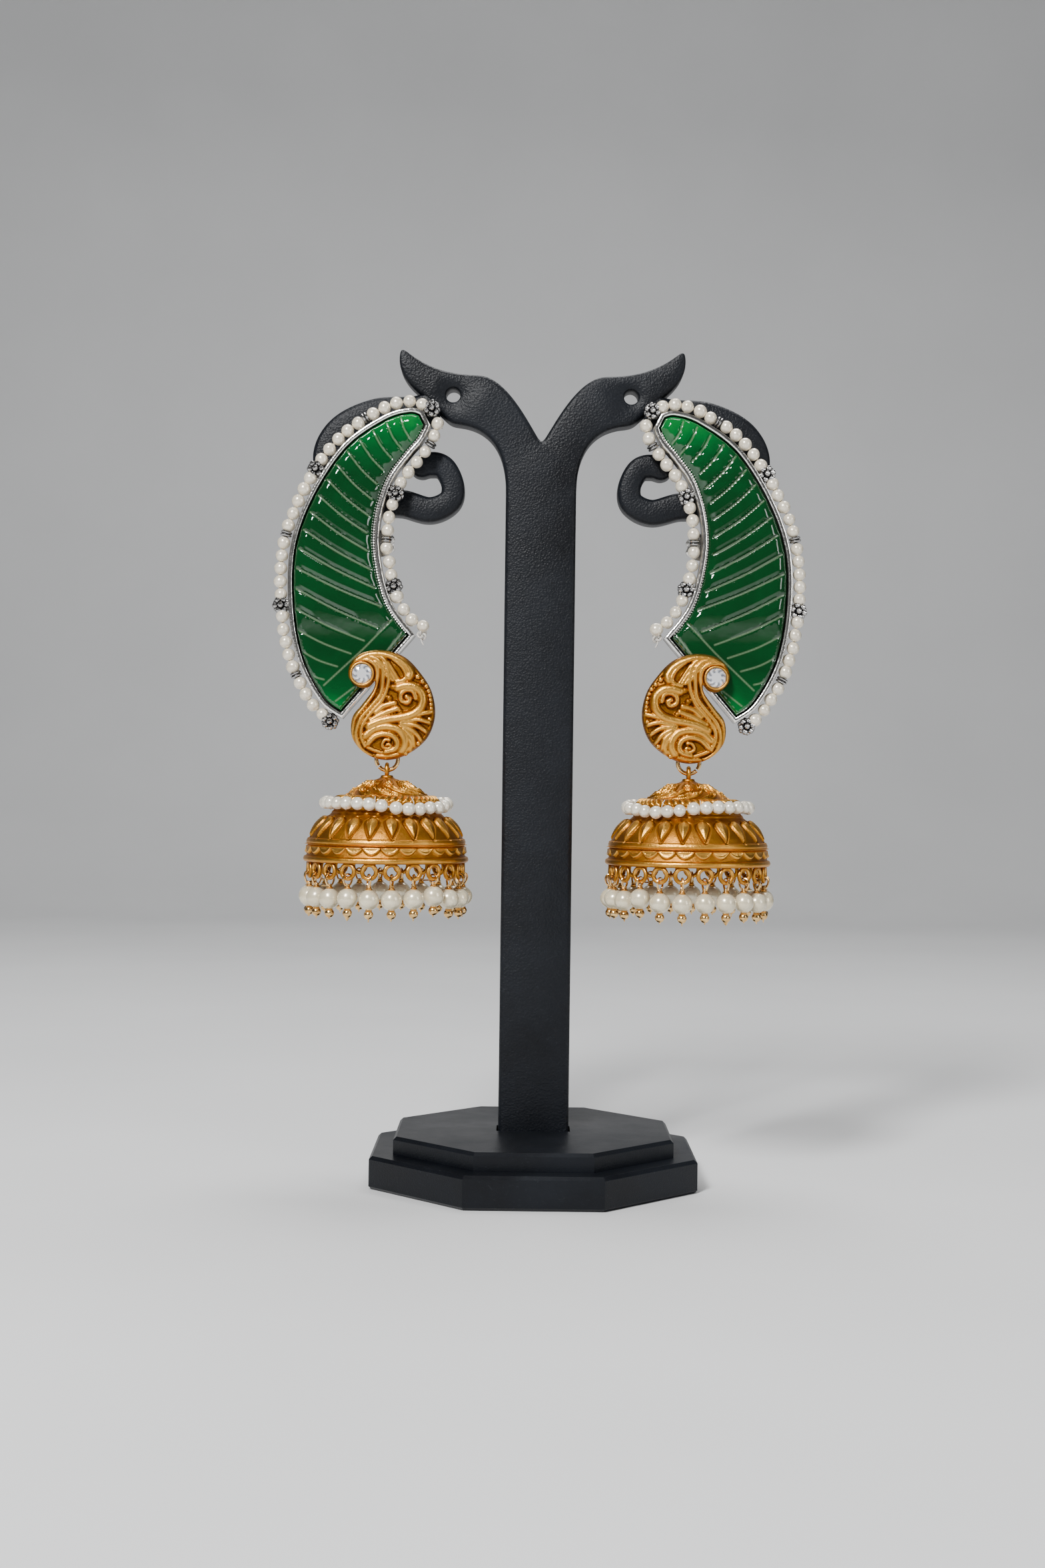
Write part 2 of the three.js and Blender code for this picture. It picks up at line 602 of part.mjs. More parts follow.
// Half ring of wire below the rim, facing outwards.
function eyelet(angle) {
  const corners = [
    [-EYELET_RADIUS, RIM_Z + 0.6 * BELL_WALL],
    [-0.8 * EYELET_RADIUS, EYELET_Z - EYELET_RADIUS],
    [0.8 * EYELET_RADIUS, EYELET_Z - EYELET_RADIUS],
    [EYELET_RADIUS, RIM_Z + 0.6 * BELL_WALL],
  ];
  const points = corners.map(([aside, height]) => around(angle, DROP_RADIUS, aside, height));
  return bentWire(points, EYELET_WIRE, EYELET_STEPS);
}

// A point of the bell at an angle from its front, a distance from its axis, a step aside and a height.
function around(angle, distance, aside, height) {
  const x = distance * Math.sin(angle) + aside * Math.cos(angle);
  const y = -distance * Math.cos(angle) + aside * Math.sin(angle);
  return new THREE.Vector3(HANG_REACH + x, HANG_DEPTH + y, height);
}

function ringOfPearls() {
  const radius = NECK_SHARE * BELL_RADIUS + CLEARANCE + RING_PEARL / 2;
  const ring = new THREE.TorusGeometry(radius, RING_PEARL / 2, RING_SECTION, RING_STEPS);
  return solidOf(aroundBell(ring.translate(0, 0, RIM_Z + RING_HEIGHT)));
}

// A pearl with a small bead at its end, on a bail that passes through its eyelet.
function drop(angle) {
  const profile = DROP_PROFILE.map((row) => {
    const radius = row.pearl ? (row.pearl * DROP_PEARL) / 2 : (row.bead * END_BEAD) / 2;
    return new THREE.Vector2(radius, PEARL_TOP - DROP_LENGTH * (1 - row.up));
  });
  profile.unshift(new THREE.Vector2(0, PEARL_TOP - DROP_LENGTH));
  profile.push(new THREE.Vector2(0, PEARL_TOP));
  const middle = around(angle, DROP_RADIUS, 0, 0);
  const body = new THREE.LatheGeometry(profile, PEARL_SIDES).rotateX(Math.PI / 2);
  const foot = PEARL_TOP - 0.15 * DROP_PEARL;
  const crown = EYELET_Z - EYELET_RADIUS + BAIL_RADIUS;
  const corners = [
    [-0.6 * BAIL_RADIUS, foot],
    [-BAIL_RADIUS, crown],
    [BAIL_RADIUS, crown],
    [0.6 * BAIL_RADIUS, foot],
  ];
  const points = corners.map(([out, height]) => around(angle, DROP_RADIUS + out, 0, height));
  const bail = bentWire(points, BAIL_WIRE, BAIL_STEPS);
  return solidOf(body.translate(middle.x, middle.y, 0)).add(bail);
}

function meshOf(name, solid, material) {
  const mesh = new THREE.Mesh(geometryOf(solid), material);
  mesh.name = name;
  return mesh;
}

function earring(side) {
  const group = new THREE.Group();
  group.add(meshOf(side + "_frame", frame(), SILVER));
  group.add(meshOf(side + "_stone", stone(), EMERALD));
  group.add(meshOf(side + "_pearl_string", pearlString(), PEARL));
  group.add(meshOf(side + "_paisley", paisley(), GOLD));
  group.add(meshOf(side + "_link_ring", linkRing(), GOLD));
  group.add(meshOf(side + "_bell", bell(), GOLD));
  group.add(meshOf(side + "_bell_pearls", ringOfPearls(), PEARL));
  for (let i = 0; i < DROPS; i++) {
    const name = side + "_drop_" + String(i + 1).padStart(2, "0");
    group.add(meshOf(name, drop(dropAngle(i)), PEARL));
  }
  return group;
}

const object = new THREE.Group();
object.add(meshOf("stand_base", standBase(), BLACK));
object.add(meshOf("stand_arms", standArms(), BLACK));
const right = earring("right");
const left = earring("left");
left.scale.x = -1;
object.add(right, left);

export default object;
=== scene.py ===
"""A pair of jhumka earrings on a black stand: on each side a carved green crescent edged with
strung pearls, a cast gold paisley, and a gold bell with a fringe of pearl drops."""
import math

import bpy
import numpy as np
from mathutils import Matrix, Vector
from mathutils.geometry import delaunay_2d_cdt


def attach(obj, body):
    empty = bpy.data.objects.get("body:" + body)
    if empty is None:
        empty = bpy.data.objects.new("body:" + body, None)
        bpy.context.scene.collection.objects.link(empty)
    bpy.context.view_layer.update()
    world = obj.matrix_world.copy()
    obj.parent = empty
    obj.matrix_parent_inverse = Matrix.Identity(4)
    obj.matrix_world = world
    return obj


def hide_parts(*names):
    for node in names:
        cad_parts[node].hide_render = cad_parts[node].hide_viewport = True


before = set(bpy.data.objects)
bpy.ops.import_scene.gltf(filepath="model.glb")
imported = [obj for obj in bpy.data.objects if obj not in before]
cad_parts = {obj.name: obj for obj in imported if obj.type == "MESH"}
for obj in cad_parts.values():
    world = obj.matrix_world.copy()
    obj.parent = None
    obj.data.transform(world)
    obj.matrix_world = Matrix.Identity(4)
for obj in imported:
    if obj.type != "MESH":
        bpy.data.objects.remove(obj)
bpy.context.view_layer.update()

MM = 0.001
TURN = 2 * math.pi

# Places that the solids share, and sizes, in millimetres. Depths are along Y, and the front is -Y.
ARM_DEPTH = 2.8
ARM_ROUNDING = 0.9
COLUMN_HALF = 6.6
SPRING_Z = 129.0
UNDERSIDE_Z = 141.6
SHOULDER_Z = 150.9
NOTCH_Z = 138.1
ARM_HOLE = (16.7, 147.0, 2.8)
# Each box is its inner side, its foot, its width and its height
CRESCENT = (20.7, 86.0, 26.2, 57.8)
PLATE_BACK = -3.1
PLATE_FRONT = -3.9
BEZEL_FRONT = -6.8
BEZEL_WIDTH = 0.9
STONE_INSET = 1.2
STONE_FLOOR = -6.33
STONE_PITCH = 0.22
STRING_OUT = 1.4
STRING_DEPTH = -5.3
PAISLEY = (19.1, 78.4, 15.6, 20.2)
PAISLEY_BACK = -7.35
PAISLEY_FRONT = -8.35
PAISLEY_PITCH = 0.15
DIAMOND = (32.59, 94.26)
POST = (31.4, 119.0)
PIN = (38.2, 131.2)
HANG_REACH = 27.94
HANG_DEPTH = -6.35
LINK_Z = 78.55
LINK_RADIUS = 2.0
RIM_Z = 59.65
DROP_RADIUS = 14.25
EYELET_Z = 58.25
EYELET_RADIUS = 1.27
PEARL_MIDDLE = 53.33
DROPS = 22
LOW_DROP = 19
THICK_TIP = 1
DROP_PEARL_RADIUS = 1.88
END_BEAD_RADIUS = 0.86
SEED_PEARL = 2.45
NECK_PEARLS = 30
NECK_PEARL_RADIUS = 1.19
NECK_REACH = 11.3
NECK_Z = 70.5
BELL_COLUMNS = 616
CROWN_ROWS = 84
SKIRT_ROWS = 118
LAPPETS = 28
LEAVES = 9

CRESCENT_OUTER = [
    (0.6, 0), (0.76, 0.055), (0.92, 0.19), (0.99, 0.36), (0.98, 0.55),
    (0.85, 0.72), (0.62, 0.88), (0.34, 0.973), (0.15, 1), (0.05, 0.99),
]
CRESCENT_INNER = [
    (0, 0.945), (0.05, 0.895), (0.15, 0.84), (0.27, 0.76),
    (0.345, 0.64), (0.345, 0.52), (0.26, 0.375), (0.09, 0.27),
]
PAISLEY_EDGE = [
    (0.714, 0.721), (0.79, 0.665), (0.9, 0.66), (1, 0.72), (1.03, 0.8), (0.985, 0.9),
    (0.842, 0.981), (0.6, 1), (0.36, 0.94), (0.176, 0.797), (0.043, 0.628), (0, 0.417),
    (0.075, 0.225), (0.242, 0.093), (0.462, 0.011), (0.67, 0.009), (0.866, 0.087),
    (0.979, 0.217), (0.975, 0.388), (0.86, 0.509), (0.733, 0.64),
]
HORN_START = 19.3
HORN_REACH = 43.0
HORN_FOOT = 123.2
HORN_RISE = 23.5
HORN_WIDTH = 6.0
# Middle of the horn's band as shares of its reach and rise, and its width as a share of HORN_WIDTH
HORN = [
    (0.33, 0.97, 1.5), (0.53, 0.89, 0.98), (0.72, 0.86, 0.97), (0.87, 0.72, 1), (0.93, 0.5, 0.97),
    (0.865, 0.27, 0.93), (0.72, 0.17, 0.87), (0.6, 0.15, 0.83), (0.485, 0.1, 0.8), (0.4, 0.17, 0.75),
    (0.386, 0.3, 0.72), (0.425, 0.44, 0.72), (0.49, 0.465, 0.74), (0.565, 0.4, 0.6),
]


# Lines and distances

def unit(vectors):
    return vectors / np.maximum(np.linalg.norm(vectors, axis=-1, keepdims=True), 1e-12)


def full_turn(count):
    return np.linspace(0, TURN, count, endpoint=False)


def rise(low, high, value):
    """From 0 to 1 between low and high, as 3 t squared less 2 t cubed."""
    t = np.clip((value - low) / (high - low), 0, 1)
    return t * t * (3 - 2 * t)


def smooth_line(rows, count, closed=False):
    """Cubic spans through the rows, each end's slope half the step between its two neighbours."""
    rows = np.asarray(rows, float)
    ends = (rows[-1:], rows[:2]) if closed else (rows[:1], rows[-1:])
    padded = np.vstack([ends[0], rows, ends[1]])
    spans = len(padded) - 3
    t = np.linspace(0, spans, count, endpoint=not closed)
    k = np.minimum(t.astype(int), spans - 1)
    u = (t - k)[:, None]
    a, b, c, d = padded[k], padded[k + 1], padded[k + 2], padded[k + 3]
    return 0.5 * (2 * b + (c - a) * u + (2 * a - 5 * b + 4 * c - d) * u**2 + (3 * b - a - 3 * c + d) * u**3)


def lengths(line):
    return np.r_[0, np.cumsum(np.linalg.norm(np.diff(line, axis=0), axis=1))]


def at_length(line, distance):
    """Points of a line at these distances along it."""
    along = lengths(line)
    return np.column_stack([np.interp(distance, along, line[:, k]) for k in range(line.shape[1])])


def evenly(line, count, closed=False):
    whole = np.vstack([line, line[:1]]) if closed else line
    return at_length(whole, np.linspace(0, lengths(whole)[-1], count, endpoint=not closed))


def shifted(outline, distance, limit=0.5):
    """A closed outline moved outwards: each point goes along the mean of its two edges' normals."""
    ahead = unit(np.roll(outline, -1, 0) - outline)
    behind = np.roll(ahead, 1, 0)
    normal = unit(np.stack([ahead[:, 1] + behind[:, 1], -ahead[:, 0] - behind[:, 0]], -1))
    spread = np.maximum(limit, normal[:, 0] * ahead[:, 1] - normal[:, 1] * ahead[:, 0])
    x, y = outline.T
    turn = np.sign(np.sum(x * np.roll(y, -1) - np.roll(x, -1) * y))
    return outline + turn * distance * normal / spread[:, None]


def away(points, line, closed=False):
    """Distance of every point from the nearest of a line's straight spans."""
    ends = np.vstack([line, line[:1]]) if closed else line
    start, step = ends[:-1], np.diff(ends, axis=0)
    best = np.full(len(points), 1e9)
    for a, s in zip(start, step):
        t = np.clip((points - a) @ s / max(s @ s, 1e-12), 0, 1)
        best = np.minimum(best, np.linalg.norm(points - a - t[:, None] * s, axis=1))
    return best


def within(points, outline):
    """True for points that a ray along X leaves through the outline an odd number of times."""
    inside = np.zeros(len(points), bool)
    for a, b in zip(outline, np.roll(outline, -1, 0)):
        if a[1] == b[1]:
            continue
        crossed = (a[1] > points[:, 1]) != (b[1] > points[:, 1])
        inside ^= crossed & (points[:, 0] < a[0] + (points[:, 1] - a[1]) * (b[0] - a[0]) / (b[1] - a[1]))
    return inside


# Shapes: points, groups of faces, and a value for each point, from 0 in a recess to 1 on a crest:
# mostly wear, and frost in the stone's cuts, but painted shadow at the bezel's inner foot and
# painted reflections on the diamond's facets

def facing_out(points, groups, worn=0.6):
    """The shape, with its faces turned round if the volume that they enclose is negative."""
    centred = points - points.mean(0)
    volume = 0
    for group in groups:
        for k in range(1, group.shape[1] - 1):
            a, b, c = centred[group[:, 0]], centred[group[:, k]], centred[group[:, k + 1]]
            volume += np.einsum("ij,ij->", a, np.cross(b, c))
    if volume < 0:
        groups = [group[:, ::-1] for group in groups]
    return points, groups, np.broadcast_to(worn, len(points))


def between(index):
    """Quads between each row of a grid of point numbers and the next, all the way round."""
    after = np.roll(index, -1, 1)
    return np.stack([index[:-1], after[:-1], after[1:], index[1:]], -1).reshape(-1, 4)


def skin(rings, ends="flat", worn=0.6):
    """Quads over a grid of points whose columns go round the shape. The ends are closed by one flat
    face each, by a fan to the mean of the end ring (tips), or by joining the last ring to the first.
    The wear and painted light value is one value, one for each ring in a column of its own, or one for each
    point."""
    rows, columns = rings.shape[:2]
    index = np.arange(rows * columns).reshape(rows, columns)
    points = rings.reshape(-1, 3)
    worn = np.broadcast_to(worn, rings.shape[:2]).ravel()
    if ends == "joined":
        index = np.vstack([index, index[:1]])
    after = np.roll(index, -1, 1)
    groups = [between(index)]
    if ends == "flat":
        groups += [index[:1, ::-1], index[-1:]]
    if ends == "tips":
        first, last = len(points), len(points) + 1
        points = np.vstack([points, rings[0].mean(0), rings[-1].mean(0)])
        worn = np.r_[worn, worn[0], worn[-1]]
        groups.append(np.stack([after[0], index[0], np.full(columns, first)], -1))
        groups.append(np.stack([index[-1], after[-1], np.full(columns, last)], -1))
    return facing_out(points, groups, worn)


def balls(centres, radii, rings=8, sides=12, uneven=0.0, seed=1):
    """Balls from rings of latitude. An uneven one swells by a slow wave of its own over each."""
    chance = np.random.default_rng(seed)
    centres = np.atleast_2d(centres)
    radii = np.broadcast_to(radii, len(centres))
    lift = np.linspace(0, math.pi, rings + 2)[1:-1, None]
    turn = full_turn(sides)[None]
    ball = np.stack([np.sin(lift) * np.cos(turn), np.sin(lift) * np.sin(turn), np.cos(lift) + 0 * turn], -1)
    ball = np.vstack([ball.reshape(-1, 3), [[0, 0, 1], [0, 0, -1]]])
    waves = 2.1 * chance.normal(size=(len(centres), 3))
    swell = 1 + uneven * np.sin(ball @ waves.T + chance.uniform(0, TURN, len(centres)))
    points = centres[:, None] + (radii[:, None] * swell.T)[..., None] * ball[None]
    index = np.arange(rings * sides).reshape(rings, sides)
    after = np.roll(index, -1, 1)
    quads = np.stack([index[:-1], index[1:], after[1:], after[:-1]], -1).reshape(-1, 4)
    top = np.stack([index[0], after[0], np.full(sides, rings * sides)], -1)
    foot = np.stack([after[-1], index[-1], np.full(sides, rings * sides + 1)], -1)
    steps = len(ball) * np.arange(len(centres))[:, None, None]
    groups = [(faces[None] + steps).reshape(-1, faces.shape[1]) for faces in (quads, top, foot)]
    worn = 0.55 + 0.45 * np.tile(-ball[:, 1], len(centres))
    return facing_out(points.reshape(-1, 3), groups, worn)


def tube(path, radius, sides=8, aside=(0, 1, 0), closed=False, worn=0.7):
    """A round section carried along a path: its two axes are square to the path and to aside."""
    path = np.asarray(path, float)
    if closed:
        along = np.roll(path, -1, 0) - np.roll(path, 1, 0)
    else:
        along = np.gradient(path, axis=0)
    across = unit(np.cross(along, aside))
    up = unit(np.cross(across, along))
    angle = full_turn(sides)[None, :, None]
    radius = np.broadcast_to(radius, len(path))[:, None, None]
    rings = path[:, None] + radius * (np.cos(angle) * across[:, None] + np.sin(angle) * up[:, None])
    return skin(rings, "joined" if closed else "tips", worn)


def turned(profile, centre, axis=(0, 0, 1), sides=16, worn=0.6):
    """A profile of (radius, distance along the axis) turned round the axis through a centre."""
    axis = unit(np.asarray(axis, float))
    first = unit(np.cross(axis, (0.3, 0.9, 0.1)))
    second = np.cross(axis, first)
    angle = full_turn(sides)
    circle = np.cos(angle)[:, None] * first + np.sin(angle)[:, None] * second
    profile = np.asarray(profile, float)
    rings = profile[:, :1, None] * circle[None] + profile[:, 1:, None] * axis + np.asarray(centre, float)
    return skin(rings, "tips", worn)


def in_depth(line, depth):
    """Points of X and Z set at a depth Y."""
    return np.column_stack([line[:, 0], np.broadcast_to(depth, len(line)), line[:, 1]])


def layered(outline, rows, worn=0.6):
    """Rings of one outline, each moved inwards and set at a depth as its row says, closed flat."""
    rings = [in_depth(shifted(outline, -inwards), depth) for inwards, depth in rows]
    return skin(np.stack(rings), "flat", worn)


def hoop(height, radius, thickness):
    """A closed ring of wire across X, in the middle of an earring at this height."""
    angle = full_turn(36)
    ring = np.column_stack([0 * angle, radius * np.cos(angle), radius * np.sin(angle)])
    return tube(ring + (HANG_REACH, HANG_DEPTH, height), thickness, 10, (1, 0, 0), closed=True)


def carved_plate(outline, back, front_of, pitch):
    """A plate with a height field for its front: a triangular lattice inside the outline is joined
    to it by the triangulation of least circles, and front_of gives each point's depth and wear."""
    rim = len(outline)
    low, high = outline.min(0), outline.max(0)
    x, z = np.meshgrid(np.arange(low[0], high[0], pitch), np.arange(low[1], high[1], 0.866 * pitch))
    x[1::2] += pitch / 2
    lattice = np.column_stack([x.ravel(), z.ravel()])
    lattice = lattice[within(lattice, outline)]
    lattice = lattice[away(lattice, outline, True) > 0.6 * pitch]
    places = [Vector(p) for p in np.vstack([outline, lattice]).tolist()]
    edges = [(k, (k + 1) % rim) for k in range(rim)]
    flat, _, faces, *_ = delaunay_2d_cdt(places, edges, [], 1, 1e-7)
    flat = np.array([tuple(p) for p in flat])
    depth, worn = front_of(flat)
    points = np.vstack([in_depth(flat, depth), in_depth(flat[:rim], back)])
    front = np.arange(rim)
    behind = front + len(flat)
    walls = np.stack([front, behind, np.roll(behind, -1), np.roll(front, -1)], -1)
    return facing_out(points, [np.array(faces), walls, behind[None]], np.r_[worn, worn[:rim]])


def piece(name, shapes, finish, body, side=1, stands_for=(), sharp=35):
    """One object from several shapes, mirrored across X where its side is negative. It rides on
    the body and stands for the solids named, and edges sharper than the angle are not smoothed."""
    faces = []
    first = 0
    for points, groups, _ in shapes:
        for group in groups:
            faces += (group[:, ::side] + first).tolist()
        first += len(points)
    points = np.vstack([shape[0] for shape in shapes]) * MM
    points[:, 0] *= side
    mesh = bpy.data.meshes.new(name)
    mesh.from_pydata(points.tolist(), [], faces)
    mesh.polygons.foreach_set("use_smooth", np.ones(len(faces), bool))
    mesh.set_sharp_from_angle(angle=math.radians(sharp))
    worn = mesh.attributes.new("worn", "FLOAT", "POINT")
    worn.data.foreach_set("value", np.concatenate([shape[2] for shape in shapes]).astype(np.float32))
    mesh.materials.append(finish)
    mesh.update()
    thing = bpy.data.objects.new(name, mesh)
    bpy.context.collection.objects.link(thing)
    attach(thing, body)
    if stands_for:
        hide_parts(*stands_for)


# Finishes

def new_finish(name):
    material = bpy.data.materials.new(name)
    material.use_nodes = True
    return material, material.node_tree, material.node_tree.nodes["Principled BSDF"]


def feed(tree, socket, value):
    """A value or a link for a socket."""
    if isinstance(value, bpy.types.NodeSocket):
        tree.links.new(value, socket)
    else:
        socket.default_value = value


def put(tree, kind, inputs, **settings):
    """A node of this kind, with its settings and with values or links on its inputs."""
    node = tree.nodes.new("ShaderNode" + kind)
    for key, value in settings.items():
        setattr(node, key, value)
    for key, value in inputs.items():
        feed(tree, node.inputs[key], value)
    return node


def place_in(tree):
    return put(tree, "TexCoord", {}).outputs["Object"]


def grain(tree, scale, detail=3.0, roughness=0.5, distortion=0.0):
    inputs = {"Vector": place_in(tree), "Scale": scale, "Detail": detail}
    inputs |= {"Roughness": roughness, "Distortion": distortion}
    return put(tree, "TexNoise", inputs).outputs["Fac"]


def cells(tree, scale, feature="F1"):
    inputs = {"Vector": place_in(tree), "Scale": scale}
    return put(tree, "TexVoronoi", inputs, feature=feature).outputs["Distance"]


def graded(tree, value, *stops):
    """A colour that passes through the stops, each a position and a colour, as the value rises."""
    node = put(tree, "ValToRGB", {"Fac": value})
    ramp = node.color_ramp
    while len(ramp.elements) < len(stops):
        ramp.elements.new(0.5)
    for element, (position, colour) in zip(ramp.elements, stops):
        element.position = position
        element.color = (*colour, 1)
    return node.outputs["Color"]


def ranged(tree, value, low, high, start=0.0, end=1.0):
    inputs = {"Value": value, "From Min": start, "From Max": end, "To Min": low, "To Max": high}
    return put(tree, "MapRange", inputs).outputs["Result"]


def combined(tree, operation, first, second):
    return put(tree, "Math", {0: first, 1: second}, operation=operation).outputs["Value"]


def mixed(tree, share, first, second):
    """The first colour turning into the second, which is given as three numbers."""
    node = put(tree, "Mix", {"Factor": share, 6: first, 7: (*second, 1)}, data_type="RGBA")
    return node.outputs[2]


def bumped(tree, height, strength, distance):
    inputs = {"Height": height, "Strength": strength, "Distance": distance}
    return put(tree, "Bump", inputs).outputs["Normal"]


def wear_and_light_of(tree):
    # The per-point attribute: wear on crests, with painted shadow and painted reflections where a shape
    # carries them
    return put(tree, "Attribute", {}, attribute_name="worn").outputs["Fac"]


def patchy_wear_and_light(tree, scale, roughness, amount):
    """The shape's own wear and painted light value, with an amount of noise centred on nought added to it.
    """
    patches = combined(tree, "SUBTRACT", grain(tree, scale, 4.0, roughness), 0.5)
    patches = combined(tree, "MULTIPLY", patches, amount)
    return combined(tree, "ADD", wear_and_light_of(tree), patches)


def dress(shader, **inputs):
    """Values and links for the shader's own sockets."""
    for key, value in inputs.items():
        feed(shader.id_data, shader.inputs[key.replace("_", " ")], value)


def black_plastic(name, grain_size, depth, low, high):
    """Moulded plastic: leathery cells under a fine noise, cloudy wear in its sheen and thin pale
    scratches."""
    material, tree, shader = new_finish(name)
    leather = combined(tree, "ADD", cells(tree, 1 / grain_size), grain(tree, 2.2 / grain_size))
    clouds = grain(tree, 55.0, 4.0, 0.6)
    scratch = ranged(tree, grain(tree, 700.0, 2.0, 0.7, 3.0), 0.0, 1.0, 0.62, 0.72)
    colour = graded(tree, clouds, (0.3, (0.003, 0.0035, 0.005)), (0.75, (0.007, 0.009, 0.013)))
    colour = mixed(tree, combined(tree, "MULTIPLY", scratch, 0.2), colour, (0.035, 0.04, 0.048))
    dress(shader, Base_Color=colour, Roughness=ranged(tree, clouds, low, high, 0.25, 0.75))
    dress(shader, Normal=bumped(tree, leather, depth, 0.00012), Specular_IOR_Level=0.22)
    return material


def antique_gold():
    """Cast gold: dark red-brown in the recesses, bright and smoother on the crests, fine grain."""
    material, tree, shader = new_finish("antique_gold")
    wear = patchy_wear_and_light(tree, 420.0, 0.6, 0.5)
    recesses = ((0.08, (0.12, 0.042, 0.006)), (0.35, (0.32, 0.125, 0.014)))
    crests = ((0.65, (0.54, 0.235, 0.028)), (0.95, (0.74, 0.38, 0.07)))
    dress(shader, Base_Color=graded(tree, wear, *recesses, *crests), Metallic=1.0)
    dress(shader, Roughness=ranged(tree, wear, 0.52, 0.32, 0.1, 1.0))
    coarse = combined(tree, "MULTIPLY", grain(tree, 1500.0), 1.5)
    fine = combined(tree, "ADD", grain(tree, 5200.0, 2.0), coarse)
    dress(shader, Normal=bumped(tree, fine, 0.5, 0.00008))
    return material


def bright_gold():
    """Polished gold of the wires and end beads, with faint specks of tone."""
    material, tree, shader = new_finish("bright_gold")
    tone = grain(tree, 900.0, 3.0, 0.6)
    dress(shader, Base_Color=graded(tree, tone, (0.3, (0.62, 0.34, 0.1)), (0.7, (0.95, 0.66, 0.3))))
    dress(shader, Metallic=1.0, Roughness=ranged(tree, tone, 0.14, 0.3))
    dress(shader, Normal=bumped(tree, grain(tree, 3800.0), 0.2, 0.00004))
    return material


def silver_with_wear_and_shade(name, dark, bright):
    """Silver: dark in the recesses (oxide, and painted shadow at the bezel's inner foot) and rubbed bright
    on the crests, lightly dented.
    """
    material, tree, shader = new_finish(name)
    # Crest wear and oxide in hollows, and for the bezel also the painted shadow at its inner foot
    wear = patchy_wear_and_light(tree, 650.0, 0.65, 0.7)
    middle = tuple(0.35 * a + 0.5 * b for a, b in zip(dark, bright))
    stops = ((0.1, dark), (0.5, middle), (0.85, bright))
    dress(shader, Base_Color=graded(tree, wear, *stops), Metallic=1.0)
    dress(shader, Roughness=ranged(tree, wear, 0.5, 0.16))
    dents = combined(tree, "ADD", cells(tree, 1100.0, "SMOOTH_F1"), grain(tree, 2600.0))
    dress(shader, Normal=bumped(tree, dents, 0.4, 0.00009))
    return material


def cream_pearl(name, low, high, sheen):
    """Nacre: cream with faint cloudy tones, a satin skin of its own colour and a clear gloss over it."""
    material, tree, shader = new_finish(name)
    clouds = grain(tree, 480.0, 3.0, 0.55, 0.6)
    dress(shader, Base_Color=graded(tree, clouds, (0.3, low), (0.7, high)), Metallic=0.25)
    dress(shader, Roughness=ranged(tree, clouds, 0.22, 0.32), Specular_IOR_Level=0.7)
    dress(shader, Coat_Weight=sheen, Coat_Roughness=0.06)
    dress(shader, Normal=bumped(tree, grain(tree, 900.0, 2.0), 0.06, 0.00006))
    return material


def carved_emerald():
    """Green stone: deep in the middle, lighter towards its top and foot as painted light shining through
    its tips, lighter in faint veils of its own, and frosted in the cuts."""
    material, tree, shader = new_finish("carved_emerald")
    height = put(tree, "SeparateXYZ", {"Vector": place_in(tree)}).outputs["Z"]
    # Painted light: the top and the foot are lightened by height, as light shining through the stone's
    # tips; the veils are its own colour
    top = ranged(tree, height, 0.0, 1.0, 0.131, 0.146)
    foot = ranged(tree, height, 0.7, 0.0, 0.086, 0.096)
    veils = ranged(tree, grain(tree, 120.0, 4.0, 0.5, 0.8), 0.0, 0.5, 0.45, 0.8)
    veils_and_painted_glow = combined(tree, "ADD", combined(tree, "ADD", top, foot), combined(tree, "MULTIPLY", veils, 0.45))
    stops = ((0.0, (0.001, 0.034, 0.007)), (0.4, (0.001, 0.06, 0.012)), (1.0, (0.001, 0.2, 0.035)))
    frost = ranged(tree, wear_and_light_of(tree), 0.0, 0.6, 0.35, 1.0)
    colour = mixed(tree, frost, graded(tree, veils_and_painted_glow, *stops), (0.17, 0.25, 0.14))
    dress(shader, Base_Color=colour, Roughness=ranged(tree, frost, 0.04, 0.32, 0.0, 0.5), IOR=1.58)
    dress(shader, Coat_Weight=0.3, Coat_Roughness=0.03, Specular_IOR_Level=0.5)
    dress(shader, Normal=bumped(tree, grain(tree, 300.0, 2.0), 0.08, 0.0003))
    return material


def cut_diamond():
    """A clear brilliant: its facets take painted dark and light reflections in turn, under faint
    inclusions.
    """
    material, tree, shader = new_finish("cut_diamond")
    # Painted reflections: the tone follows the facet value from the shape, so every other facet is painted
    # lighter, with noise for inclusions
    tone = combined(tree, "ADD", wear_and_light_of(tree), ranged(tree, grain(tree, 1400.0, 2.0), -0.25, 0.25))
    stops = ((0.1, (0.2, 0.22, 0.26)), (0.5, (0.6, 0.63, 0.68)), (0.85, (0.95, 0.96, 0.98)))
    dress(shader, Base_Color=graded(tree, tone, *stops), IOR=2.2)
    dress(shader, Roughness=ranged(tree, tone, 0.0, 0.08))
    dress(shader, Transmission_Weight=0.15, Metallic=0.25)
    return material


def twisted_thread():
    """Pale waxed thread with a fine uneven grain."""
    material, tree, shader = new_finish("twisted_thread")
    twist = grain(tree, 4200.0, 2.0, 0.5, 1.5)
    dress(shader, Base_Color=graded(tree, twist, (0.3, (0.5, 0.46, 0.4)), (0.7, (0.85, 0.83, 0.78))))
    dress(shader, Roughness=ranged(tree, twist, 0.35, 0.6), Normal=bumped(tree, twist, 0.4, 0.00005))
    dress(shader, Transmission_Weight=0.2)
    return material


def pale_paper():
    """Matt grey-white paper with slow changes of tone."""
    material, tree, shader = new_finish("pale_paper")
    tone = grain(tree, 9.0, 4.0, 0.5)
    stops = ((0.3, (0.66, 0.665, 0.67)), (0.7, (0.7, 0.705, 0.71)))
    dress(shader, Base_Color=graded(tree, tone, *stops))
    dress(shader, Roughness=ranged(tree, tone, 0.75, 0.9))
    return material


